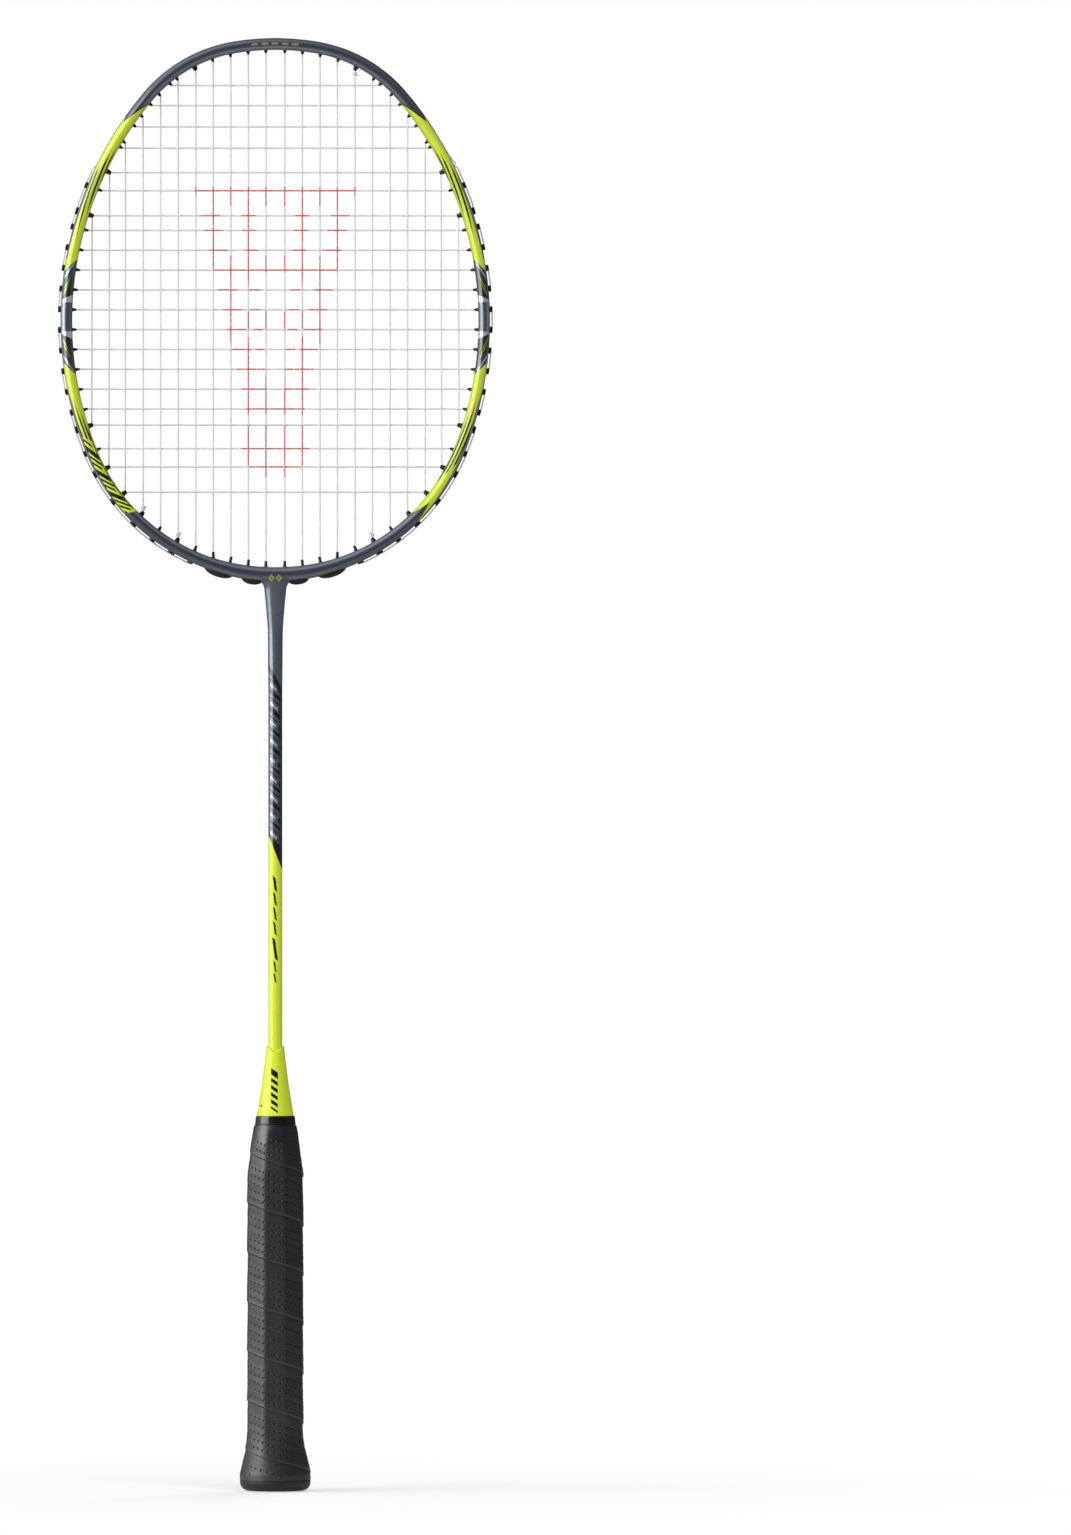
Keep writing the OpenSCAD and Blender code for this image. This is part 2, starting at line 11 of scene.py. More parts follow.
import bmesh
import bpy
import numpy as np
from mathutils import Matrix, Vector


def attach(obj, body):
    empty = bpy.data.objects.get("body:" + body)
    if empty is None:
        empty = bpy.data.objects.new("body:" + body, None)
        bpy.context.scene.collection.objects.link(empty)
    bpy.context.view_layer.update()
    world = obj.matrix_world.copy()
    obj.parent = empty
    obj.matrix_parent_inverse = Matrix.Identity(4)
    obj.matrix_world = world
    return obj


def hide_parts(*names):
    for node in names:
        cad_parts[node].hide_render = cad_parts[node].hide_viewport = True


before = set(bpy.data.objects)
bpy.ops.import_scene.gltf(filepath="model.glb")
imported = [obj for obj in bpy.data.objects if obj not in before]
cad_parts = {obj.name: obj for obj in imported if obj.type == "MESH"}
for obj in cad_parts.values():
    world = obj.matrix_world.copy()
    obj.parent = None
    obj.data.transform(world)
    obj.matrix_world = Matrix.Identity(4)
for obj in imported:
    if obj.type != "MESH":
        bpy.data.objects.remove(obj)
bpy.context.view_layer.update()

scene = bpy.context.scene
DEGREE = math.pi / 180
METRE = 0.001                   # one millimetre in metres
TURN = 2 * math.pi

# --- Driving dimensions ---
TOP = 675                       # height of the crown's outer surface
HEAD_WIDTH = 188.85             # widest inside width of the hoop
THICKNESS = 5.4                 # in-plane thickness of the hoop
THROAT_THICKNESS = 6.7
THROAT_RADIUS = 86.0            # outer surface of the throat
GROOVE_END = 65.0               # heading where the outer groove ends
GROOVE_DEPTH = 1.2
STRING_RADIUS = 0.35
MAIN_Y, CROSS_Y = 0.4, -0.4     # planes of the main and cross strings at the hoop
STRING_RIDE = 1.0               # height of a string's axis above the hoop's outer surface
MAINS, CROSSES = 11, 21         # main strings a side, cross strings
TIP_INSET = 1.3                 # depth inside the outline at which the holes are placed
WEAVE = 0.36                    # rise and fall of a string at each crossing
CONE_TOP = 206.6
NOTCH_DEPTH = 3.0
GRIP_BOTTOM, GRIP_TOP = 5.0, 169.8
GRIP_PITCH = 23.0               # rise of the tape in one turn
GRIP_SEAM = 14.6                # height of the seam at the front
HOLE_START = 3.0                # first row of punched holes, above the tape's lower edge
HOLE_ROW_STEP = 3.45
HOLE_ROWS = 5
HOLE_COLUMNS = 31
HOLE_SPACING = 2.62             # around the grip
WRAP_SLOPE = 0.283              # rise of the tape for each millimetre around


# --- Outline of the head ---
# Five tangent arcs a side, seen as (x, z) and placed by heading in degrees: 0 at the crown,
# 90 at the right side and 180 at the throat.
def sin_deg(angle):
    return math.sin(angle * DEGREE)


def cos_deg(angle):
    return math.cos(angle * DEGREE)


def asin_deg(value):
    return math.degrees(math.asin(value))


def acos_deg(value):
    return math.degrees(math.acos(value))


def outward(heading):
    return np.array([sin_deg(heading), cos_deg(heading)])


def unit(vector):
    return vector / np.linalg.norm(vector)


INNER_TOP = TOP - THICKNESS
ARC_ENDS = [0, 9.78, 49.99, 112.09, 170.06, 180]
CROWN_R, SHOULDER_R, BASE_R = 112.43, 63.7, 100.03
_, SIN_CROWN, SIN_SHOULDER, SIN_SIDE, SIN_LOWER, _ = (sin_deg(end) for end in ARC_ENDS)
# the side and lower radii bring the arcs out to the full width and back to the middle
SIDE_R = (HEAD_WIDTH / 2 - CROWN_R * SIN_CROWN
          - SHOULDER_R * (SIN_SHOULDER - SIN_CROWN)) / (1 - SIN_SHOULDER)
LOWER_R = (HEAD_WIDTH / 2 - SIDE_R * (1 - SIN_SIDE) - BASE_R * SIN_LOWER) / (SIN_SIDE - SIN_LOWER)
ARC_RADII = [CROWN_R, SHOULDER_R, SIDE_R, LOWER_R, BASE_R]
ARC_CENTRES = [np.array([0.0, INNER_TOP - CROWN_R])]
for i in range(1, 5):
    step = (ARC_RADII[i - 1] - ARC_RADII[i]) * outward(ARC_ENDS[i])
    ARC_CENTRES.append(ARC_CENTRES[-1] + step)
ARC_RUNS = [0.0]                # distance from the crown to each arc's end
for i in range(5):
    ARC_RUNS.append(ARC_RUNS[-1] + ARC_RADII[i] * (ARC_ENDS[i + 1] - ARC_ENDS[i]) * DEGREE)
THROAT_Z = ARC_CENTRES[4][1] - BASE_R - THROAT_THICKNESS
THROAT_CENTRE = np.array([0.0, THROAT_Z + THROAT_RADIUS])


def arc_index(heading):
    for i in range(4):
        if heading < ARC_ENDS[i + 1]:
            return i
    return 4


def outline(heading, offset):
    """Point at a heading, offset outwards from the hoop's inner edge."""
    i = arc_index(heading)
    return ARC_CENTRES[i] + (ARC_RADII[i] + offset) * outward(heading)


def heading_where(value, axis, arcs, to_heading):
    """Heading at which the outline, inset to the holes, reaches a value of x (0) or z (1)."""
    for i in arcs:
        share = (value - ARC_CENTRES[i][axis]) / (ARC_RADII[i] - TIP_INSET)
        if abs(share) <= 1:
            heading = to_heading(share)
            if ARC_ENDS[i] - 0.001 <= heading <= ARC_ENDS[i + 1] + 0.001:
                return heading


def heading_about(point, centre):
    return math.degrees(math.atan2(point[0] - centre[0], point[1] - centre[1]))


def outer_circle(heading):
    i = arc_index(heading)
    groove = GROOVE_DEPTH if heading < GROOVE_END else 0
    return ARC_CENTRES[i], ARC_RADII[i] + THICKNESS - groove


def distance_out(start, inward, centre, radius):
    """Distance from a point, against its inward direction, to a circle."""
    offset = start - centre
    along = float(offset @ inward)
    return along + math.sqrt(along * along - float(offset @ offset) + radius * radius)


# --- String holes ---
def main_x(j):
    return 4.39 + 8.17 * j


def cross_z(k):
    """Crosses lie closer together after the fifth step, and the last has a wide gap above it."""
    last_gap = 10.9 if k > 19 else 0
    return INNER_TOP - 15.9 - 9.9 * min(k, 5) - 9.23 * max(0, min(k, 19) - 5) - last_gap


class Hole:
    """A grommet hole: its string point inside the hoop, its inward direction and the circle
    of the surface it leaves through."""

    def __init__(self, heading, y, wide, string_direction, throat=False, inward=None):
        self.heading, self.y, self.wide, self.throat = heading, y, wide, throat
        self.tip = outline(heading, -TIP_INSET - (0.25 if wide else 0.15))
        if inward is None:
            inward = unit(-0.9 * outward(heading) + 0.1 * np.array(string_direction, float))
        self.inward = np.array(inward)
        circle = (THROAT_CENTRE, THROAT_RADIUS) if throat else outer_circle(heading)
        self.centre, self.radius = circle
        if not throat:
            self.centre, self.radius = outer_circle(heading_about(self.exit(0), self.centre))

    def exit(self, height):
        """Point on the hole's axis at a height above the outer surface."""
        radius = self.radius + height
        return self.tip - self.inward * distance_out(self.tip, self.inward, self.centre, radius)

    def exit_heading(self, height):
        return heading_about(self.exit(height), self.centre)


MAIN_HEADINGS = {
    "top": [heading_where(main_x(j), 0, range(3), asin_deg) for j in range(MAINS)],
    "bottom": [heading_where(main_x(j), 0, (2, 3, 4), lambda share: 180 - asin_deg(share))
               for j in range(MAINS)],
}
CROSS_HEADINGS = [heading_where(cross_z(k), 1, range(5), acos_deg) for k in range(CROSSES)]
CROSS_HEADINGS[0] += 0.8
# cross: the end and number of the main it shares a hole with, halfway between the two
SHARED = {4: ("top", 9), 6: ("top", 10), 17: ("bottom", 10), 19: ("bottom", 9), 20: ("bottom", 8)}
for k, (end, j) in SHARED.items():
    MAIN_HEADINGS[end][j] = (MAIN_HEADINGS[end][j] + CROSS_HEADINGS[k]) / 2


def top_hole(j):
    heading, wide = MAIN_HEADINGS["top"][j], j == 4 or j > 8
    return Hole(heading, 0 if wide else MAIN_Y, wide, -outward(heading) if j > 8 else (0, -1))


def bottom_hole(j):
    heading = MAIN_HEADINGS["bottom"][j]
    y = 0.8 if j == 5 else 0 if j >= 7 else MAIN_Y
    string_direction = -outward(heading) if j > 7 else (0, 1)
    leaning = (-sin_deg(24), cos_deg(24)) if j == 0 else None
    return Hole(heading, y, j == 5 or j > 6, string_direction, j < 4, leaning)


TOP_HOLES = [top_hole(j) for j in range(MAINS)]
BOTTOM_HOLES = [bottom_hole(j) for j in range(MAINS)]
MAIN_HOLES = {"top": TOP_HOLES, "bottom": BOTTOM_HOLES}
CROSS_HOLES = [MAIN_HOLES[SHARED[k][0]][SHARED[k][1]] if k in SHARED
               else Hole(CROSS_HEADINGS[k], CROSS_Y, False, (-1, 0)) for k in range(CROSSES)]


# --- Mesh helpers ---
@contextmanager
def edited(mesh):
    edit = bmesh.new()
    edit.from_mesh(mesh)
    yield edit
    edit.to_mesh(mesh)
    edit.free()


def merge_close(edit):
    bmesh.ops.remove_doubles(edit, verts=edit.verts, dist=2e-7)
    bmesh.ops.dissolve_degenerate(edit, edges=edit.edges, dist=1e-7)


def shade(edit, sharp):
    """Smooth faces, with edges over the sharp angle in degrees marked as creases."""
    bmesh.ops.recalc_face_normals(edit, faces=edit.faces)
    for face in edit.faces:
        face.smooth = True
    for edge in edit.edges:
        edge.smooth = edge.calc_face_angle(0.0) < sharp * DEGREE


def clean(mesh, sharp):
    with edited(mesh) as edit:
        merge_close(edit)
        shade(edit, sharp)
    mesh.update()


def new_mesh(name, verts, faces):
    """A mesh from vertices in millimetres."""
    mesh = bpy.data.meshes.new(name)
    points = (np.asarray(verts, float) * METRE).tolist()
    mesh.from_pydata(points, [], [tuple(map(int, face)) for face in faces])
    return mesh


def add_object(name, data):
    obj = bpy.data.objects.new(name, data)
    scene.collection.objects.link(obj)
    return obj


def register(obj, slot, replaced):
    obj.data.materials.append(MATERIALS[slot])
    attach(obj, "root")
    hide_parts(replaced)


def build(name, verts, faces, slot, replaced, sharp=35):
    obj = add_object(name, new_mesh(name, verts, faces))
    clean(obj.data, sharp)
    register(obj, slot, replaced)


def grid_faces(rings, points, wrap=False, base=0):
    """Quads over closed rings of points; wrap joins the last ring to the first."""
    faces = []
    for i in range(rings if wrap else rings - 1):
        here, after = base + i * points, base + (i + 1) % rings * points
        for j in range(points):
            k = (j + 1) % points
            faces.append((here + j, here + k, after + k, after + j))
    return faces


def closed_shells(shells):
    """Vertices and faces of shells, each over rings of equal length with a fan at each end."""
    verts, faces = [], []
    for rings in shells:
        rings = [np.asarray(ring, float) for ring in rings]
        points, first = len(rings[0]), len(verts)
        last = first + (len(rings) - 1) * points
        centre = last + points
        verts.extend(np.vstack(rings + [rings[0].mean(0), rings[-1].mean(0)]))
        faces += grid_faces(len(rings), points, base=first)
        faces += [(centre, first + (j + 1) % points, first + j) for j in range(points)]
        faces += [(centre + 1, last + j, last + (j + 1) % points) for j in range(points)]
    return verts, faces


def interpolate(x, stations):
    """Smooth interpolation through (x, value) stations without overshoot."""
    xs, ys = np.array(stations, float).T
    gaps = np.diff(xs)
    slopes = np.diff(ys) / gaps
    tangents = np.zeros(len(xs))
    tangents[0], tangents[-1] = slopes[0], slopes[-1]
    for i in range(1, len(xs) - 1):
        if slopes[i - 1] * slopes[i] > 0:
            before, after = 2 * gaps[i] + gaps[i - 1], gaps[i] + 2 * gaps[i - 1]
            tangents[i] = (before + after) / (before / slopes[i - 1] + after / slopes[i])
    x = np.clip(np.asarray(x, float), xs[0], xs[-1])
    i = np.clip(np.searchsorted(xs, x, side="right") - 1, 0, len(gaps) - 1)
    t = (x - xs[i]) / gaps[i]
    return (ys[i] * (1 + 2 * t) * (1 - t) ** 2 + gaps[i] * tangents[i] * t * (1 - t) ** 2
            + ys[i + 1] * t * t * (3 - 2 * t) + gaps[i] * tangents[i + 1] * t * t * (t - 1))


def smooth(x, start, end):
    t = np.clip((np.asarray(x, float) - start) / (end - start), 0, 1)
    return t * t * (3 - 2 * t)


def revolve(profile, steps, reshape=None):
    """A body of revolution about Z from an (r, z) profile.

    The profile runs from the axis out and back, or is a closed loop if it starts off the axis.
    reshape(angle, r, z) may return a changed (r, z); angle 0 is the front.
    """
    verts, faces = [], []
    for j in range(steps):
        angle = TURN * j / steps
        for r, z in profile:
            if reshape:
                r, z = reshape(angle, r, z)
            verts.append((r * math.sin(angle), -r * math.cos(angle), z))
    count = len(profile)
    closed = profile[0][0] > 1e-6
    for j in range(steps):
        here, after = j * count, (j + 1) % steps * count
        for i in range(count if closed else count - 1):
            k = (i + 1) % count
            faces.append((here + i, after + i, after + k, here + k))
    return verts, faces


def tube(path, radius, sides, end_scale=1.0):
    """Rings of a round bar swept along a path with minimal twist; the last ring is scaled."""
    path = np.asarray(path, float)
    moved = np.linalg.norm(np.diff(path, axis=0), axis=1) > 1e-4
    path = path[np.concatenate([[True], moved])]
    tangents = np.gradient(path, axis=0)
    tangents /= np.linalg.norm(tangents, axis=1)[:, None]
    reference = np.array([0.0, 1.0, 0.0])
    if abs(tangents[0] @ reference) > 0.9:
        reference = np.array([1.0, 0.0, 0.0])
    normal = unit(np.cross(tangents[0], np.cross(reference, tangents[0])))
    angles = np.arange(sides) * TURN / sides
    rings = []
    for i, (point, tangent) in enumerate(zip(path, tangents)):
        normal = unit(normal - (normal @ tangent) * tangent)
        across = np.cross(tangent, normal)
        r = radius * (end_scale if i == len(path) - 1 else 1.0)
        circle = np.cos(angles)[:, None] * normal + np.sin(angles)[:, None] * across
        rings.append(point + r * circle)
    return rings


# --- Shader helpers ---
def rgb(red, green, blue):
    """sRGB 0-255 to linear."""
    linear = []
    for c in (red, green, blue):
        c = c / 255
        linear.append(c / 12.92 if c <= 0.04045 else ((c + 0.055) / 1.055) ** 2.4)
    return (*linear, 1.0)


def connect(tree, value, socket):
    """Feeds an input from a Signal, a socket, a number or a tuple."""
    value = value.socket if isinstance(value, Signal) else value
    if isinstance(value, bpy.types.NodeSocket):
        tree.links.new(value, socket)
    else:
        socket.default_value = value


def add_node(tree, kind, inputs=None, **settings):
    node = tree.nodes.new("ShaderNode" + kind)
    for name, value in settings.items():
        setattr(node, name, value)
    for key, value in (inputs or {}).items():
        connect(tree, value, node.inputs[key])
    return node


def math_node(operation):
    """A Signal method that makes one Math node."""
    def method(self, *others):
        inputs = dict(enumerate((self,) + others))
        node = add_node(self.tree, "Math", inputs, operation=operation)
        return Signal(self.tree, node.outputs[0])
    return method


class Signal:
    """A number in a shader. Each operation makes its own nodes; masks run from 0 to 1."""

    def __init__(self, tree, socket):
        self.tree, self.socket = tree, socket

    __add__ = math_node("ADD")
    __sub__ = math_node("SUBTRACT")
    __mul__ = math_node("MULTIPLY")
    __truediv__ = math_node("DIVIDE")
    __pow__ = math_node("POWER")
    __abs__ = math_node("ABSOLUTE")
    min = math_node("MINIMUM")
    max = math_node("MAXIMUM")
    fract = math_node("FRACT")
    floor = math_node("FLOOR")
    sine = math_node("SINE")
    sqrt = math_node("SQRT")
    arctan2 = math_node("ARCTAN2")

    def __rsub__(self, other):
        return self * -1.0 + other

    def __invert__(self):
        return 1.0 - self

    def ramp(self, start, end, low=0.0, high=1.0):
        """Eases from low to high as this goes from start to end."""
        inputs = {"Value": self, "From Min": start, "From Max": end, "To Min": low, "To Max": high}
        node = add_node(self.tree, "MapRange", inputs, interpolation_type="SMOOTHSTEP")
        return Signal(self.tree, node.outputs[0])

    def above(self, edge, soft):
        return (self - edge).ramp(-soft, soft)

    def below(self, edge, soft):
        return ~self.above(edge, soft)

    def between(self, start, end, soft):
        return self.above(start, soft) * self.below(end, soft)


def union(masks):
    return functools.reduce(Signal.max, masks)


SURFACE_INPUTS = {
    "colour": "Base Color", "metallic": "Metallic", "roughness": "Roughness",
    "specular": "Specular IOR Level", "coat": "Coat Weight", "coat_roughness": "Coat Roughness",
    "sheen": "Sheen Weight", "sheen_roughness": "Sheen Roughness",
}


class Material:
    """A Principled material driven by procedural nodes, in millimetres of the racket's frame."""

    def __init__(self, name):
        self.data = bpy.data.materials.new(name)
        self.data.use_nodes = True
        self.tree = self.data.node_tree
        self.shader = self.tree.nodes["Principled BSDF"]
        coords = add_node(self.tree, "TexCoord")
        inputs = {0: coords.outputs["Object"], "Scale": 1000.0}
        self.position = add_node(self.tree, "VectorMath", inputs, operation="SCALE").outputs[0]
        split = add_node(self.tree, "SeparateXYZ", {0: self.position})
        self.x, self.y, self.z = (Signal(self.tree, socket) for socket in split.outputs)
        self.normal = None

    def angle(self):
        """Turns about Z, 0 at the front, rising to the right."""
        return self.x.arctan2(self.y * -1.0) / TURN

    def attribute(self, name):
        node = add_node(self.tree, "Attribute", attribute_name=name)
        return Signal(self.tree, node.outputs["Fac"])

    def scaled(self, x, y, z):
        inputs = {0: self.position, 1: (x, y, z)}
        return add_node(self.tree, "VectorMath", inputs, operation="MULTIPLY").outputs[0]

    def noise(self, scale, detail=3.0, vector=None, roughness=0.5):
        inputs = {"Scale": scale, "Detail": detail, "Roughness": roughness,
                  "Vector": vector or self.position}
        return Signal(self.tree, add_node(self.tree, "TexNoise", inputs).outputs[0])

    def cell_edges(self, scale, x, y, z):
        vector = add_node(self.tree, "CombineXYZ", {0: x, 1: y, 2: z}).outputs[0]
        node = add_node(self.tree, "TexVoronoi", feature="DISTANCE_TO_EDGE")
        connect(self.tree, scale, node.inputs["Scale"])
        connect(self.tree, vector, node.inputs["Vector"])
        return Signal(self.tree, node.outputs["Distance"])

    def mix(self, mask, under, over):
        inputs = {0: mask, 6: under, 7: over}
        return add_node(self.tree, "Mix", inputs, data_type="RGBA").outputs[2]

    def layers(self, colour, *layers):
        """Lays (mask, colour) pairs over a colour, first to last."""
        for mask, over in layers:
            colour = self.mix(mask, colour, over)
        return colour

    def surface(self, **values):
        for name, value in values.items():
            connect(self.tree, value, self.shader.inputs[SURFACE_INPUTS[name]])

    def bump(self, height, depth, strength):
        """Adds relief of a depth in millimetres over any laid before."""
        node = add_node(self.tree, "Bump", {
            "Distance": depth * METRE, "Strength": strength, "Height": height})
        if self.normal:
            connect(self.tree, self.normal, node.inputs["Normal"])
        self.normal = node.outputs[0]
        connect(self.tree, self.normal, self.shader.inputs["Normal"])


# --- Materials ---
LIME, LIME_WARM = rgb(214, 230, 62), rgb(207, 226, 54)
# the pale lime of the second pair is a painted highlight, laid towards the hoop's outer edge
LIME_DEEP, LIME_PAINTED_HIGHLIGHT = rgb(158, 188, 36), rgb(230, 236, 128)
SILVER = rgb(196, 204, 213)
BLACK = rgb(20, 20, 22)

# (start, end, half width) of the slanted dashes down the front of the shaft's lime part
SHAFT_DASHES = [
    (279.0, 284.8, 1.25), (272.2, 277.4, 0.95), (265.4, 270.6, 0.95), (258.6, 263.8, 0.95),
    (247.2, 256.0, 1.35), (241.2, 245.6, 0.8), (236.4, 240.0, 0.8)]
# (start, end) of the slanted marks down the front of the cone
CONE_MARKS = [(192.2, 195.2), (188.9, 190.7), (185.6, 187.4), (182.3, 184.1), (179.0, 180.8),
              (176.4, 177.5)]
# Pinstripes on the hoop's lime: (start run, start across, drift inwards for each millimetre,
# end run, half width, length of the opening point, length of the closing taper)
UPPER_STRIPES = [
    (89.5, 0.9, 0.030, 112, 0.28, 9, 10),
    (93.5, 2.36, 0.045, 130, 0.43, 9, 18),
    (99.0, 4.05, 0.040, 140, 0.42, 9, 18)]
LOWER_STRIPES = [
    (208.5, 3.45, 0.045, 249.5, 0.38, 16, 3),
    (213.0, 4.9, 0.048, 244.5, 0.36, 16, 3),
    (214.0, 1.75, 0.040, 254.0, 0.32, 12, 3)]


def shaft_pattern(m):
    """The shaft's colour and the mask of its lime part."""
    x, z = m.x, m.z
    fleck = m.noise(scale=0.35, detail=2.0)
    body = m.mix(fleck, rgb(91, 99, 112), rgb(102, 110, 123))
    top = 378.6 - x * 1.9           # slanted upper limit of the slashes
    zone = z.below(top - 3.6, soft=0.12) * z.above(300.0, soft=0.5)
    field = m.mix(fleck, rgb(80, 88, 101), rgb(112, 122, 136))
    field = m.mix(x.above(1.7, soft=0.5) * 0.85, field, rgb(58, 52, 51))

    # slanted bars all lean one way; their widths and ends change from one repeat to the next
    repeat = (z + x * 0.9 + 1.5) / 8.6
    share, number = repeat.fract(), repeat.floor()
    vary1, vary2 = (number * 0.618).fract(), (number * 0.377 + 0.2).fract()

    def bar(start, end, left, right, soft=0.014):
        """start and end are shares of the repeat; left and right are limits in x."""
        return share.between(start, end, soft) * x.between(left, right, soft=0.08)

    dark = bar(0.03, vary1 * 0.12 + 0.20, vary2 * 0.9 - 2.9, 2.4)
    pale = bar(0.42, 0.58, -2.35, vary1 * 1.5 - 0.1)
    pale_rim = bar(0.385, 0.615, -2.75, vary1 * 1.5 + 0.3)
    short = bar(0.42, 0.66, vary1 * 1.5 + 0.9, 2.5)
    thin = bar(0.74, 0.84, -2.6, 1.9 - vary2 * 1.2)
    hair = bar(0.90, 0.93, -1.6, 2.4, soft=0.012)

    edge = x * -2.5 + 296.6         # slanted upper limit of the lime
    wedge = z.between(edge - 0.1, edge + 5.5 + x * 1.4, soft=0.15) * x.below(2.9, soft=0.2)
    lime_part = z.below(edge, soft=0.12)
    front = m.y.below(0.0, soft=0.2)
    slant = z + x * 0.9
    dashes = union(
        slant.between(start, end, soft=0.1)
        * abs(x + 0.1 + (slant - (start + end) / 2) * 0.16).below(half * 0.55, soft=0.06)
        for start, end, half in SHAFT_DASHES)
    colour = m.layers(
        body,
        (z.below(top, soft=0.1), field),
        (z.between(top - 3.6, top, soft=0.1), rgb(26, 27, 30)),
        (zone * pale_rim, rgb(34, 36, 40)),
        (zone * pale, m.mix(m.noise(scale=0.5, detail=1.0), rgb(150, 160, 172),
                            rgb(205, 212, 221))),
        (zone * dark.max(thin).max(hair).max(short), rgb(24, 25, 28)),
        (wedge, rgb(30, 34, 24)),
        (lime_part, m.mix(m.noise(scale=0.25, detail=2.0), LIME, LIME_WARM)),
        (dashes * front, BLACK))
    return colour, lime_part


def pinstripes(run, across, stripes):
    """Each stripe starts as a point, drifts towards the inner edge and tapers out."""
    masks = []
    for start, place, drift, end, width, grow, fade in stripes:
        half = run.ramp(start, start + grow, 0.0, width) * run.ramp(end - fade, end, 1.0, 0.0)
        from_line = abs(across - place + (run - start) * drift)
        masks.append((from_line - half).ramp(0.07, -0.07) * run.between(start, end, soft=0.2))
    return union(masks)


def side_panel_layers(m, middle, limit, across, cloud):
    """A dark panel at the middle of each side, its marks mirrored about that middle."""
    panel = middle.below(limit, soft=0.12)
    field = m.mix(cloud, rgb(58, 63, 71), rgb(70, 76, 86))
    steel = m.layers(
        m.mix(across.between(3.9, 5.0, soft=0.4), rgb(92, 99, 109), rgb(150, 157, 166)),
        (across.between(1.2, 3.0, soft=0.8) * 0.5, rgb(80, 88, 100)))
    leaf_field = (middle.between(10.3 - across * 0.51, 18.6 - across * 0.5, soft=0.15)
                  * across.between(0.7, 4.9, soft=0.2))
    leaf_line = across - 3.2 + (middle - 14.0) * 0.26
    leaf_half = (1.0 - ((middle - 14.0) / 5.2) ** 2.0) * 0.72
    leaf = ((abs(leaf_line) - leaf_half).ramp(0.1, -0.1)
            * abs(middle - 14.0).below(5.2, soft=0.2))
    veins = ((middle + across * 2.0) / 2.1).fract().between(0.0, 0.45, soft=0.06)
    silver_curve = middle.between(6.7, 10.3 - across * 0.51, soft=0.12)
    slash_line = (middle - 21.2) + (across - 3.0) * 1.9
    slash = (abs(slash_line).below(0.95 - abs(across - 3.2) * 0.25, soft=0.12)
             * across.between(1.0, 5.0, soft=0.15))
    rim = across.above(4.85, soft=0.12) * panel
    return [
        (panel, field),
        (middle.below(6.7, soft=0.12), steel),
        (leaf_field, rgb(40, 48, 38)),
        (leaf * (veins * 0.7 + 0.3), rgb(140, 172, 70)),
        (silver_curve, SILVER),
        (slash, rgb(176, 184, 194)),
        (rim * 0.8, rgb(170, 176, 184))]


def outer_band_layers(run, across):
    """A pale band along the outer edge with a dark line at its border, above and below the
    side panel."""
    upper = run.ramp(101, 115, 5.5, 4.42) + run.ramp(130, 146, 0.0, 0.5)
    lower = run.ramp(203, 216, 5.4, 4.42) + run.ramp(250, 268, 0.0, 0.6)
    border = (upper * run.below(174.0, soft=0.1)).max(lower * run.above(174.0, soft=0.1))

    def stretch(upper_start, lower_start):
        parts = run.between(upper_start, 147, soft=0.5) + run.between(lower_start, 270, soft=0.5)
        return parts.min(1.0)

    band = (across - border).ramp(-0.06, 0.06) * stretch(100, 202)
    line = (abs(across - border) - 0.13).ramp(0.06, -0.06) * stretch(102, 203)
    return [(band, rgb(124, 129, 136)), (line, rgb(24, 26, 26))]


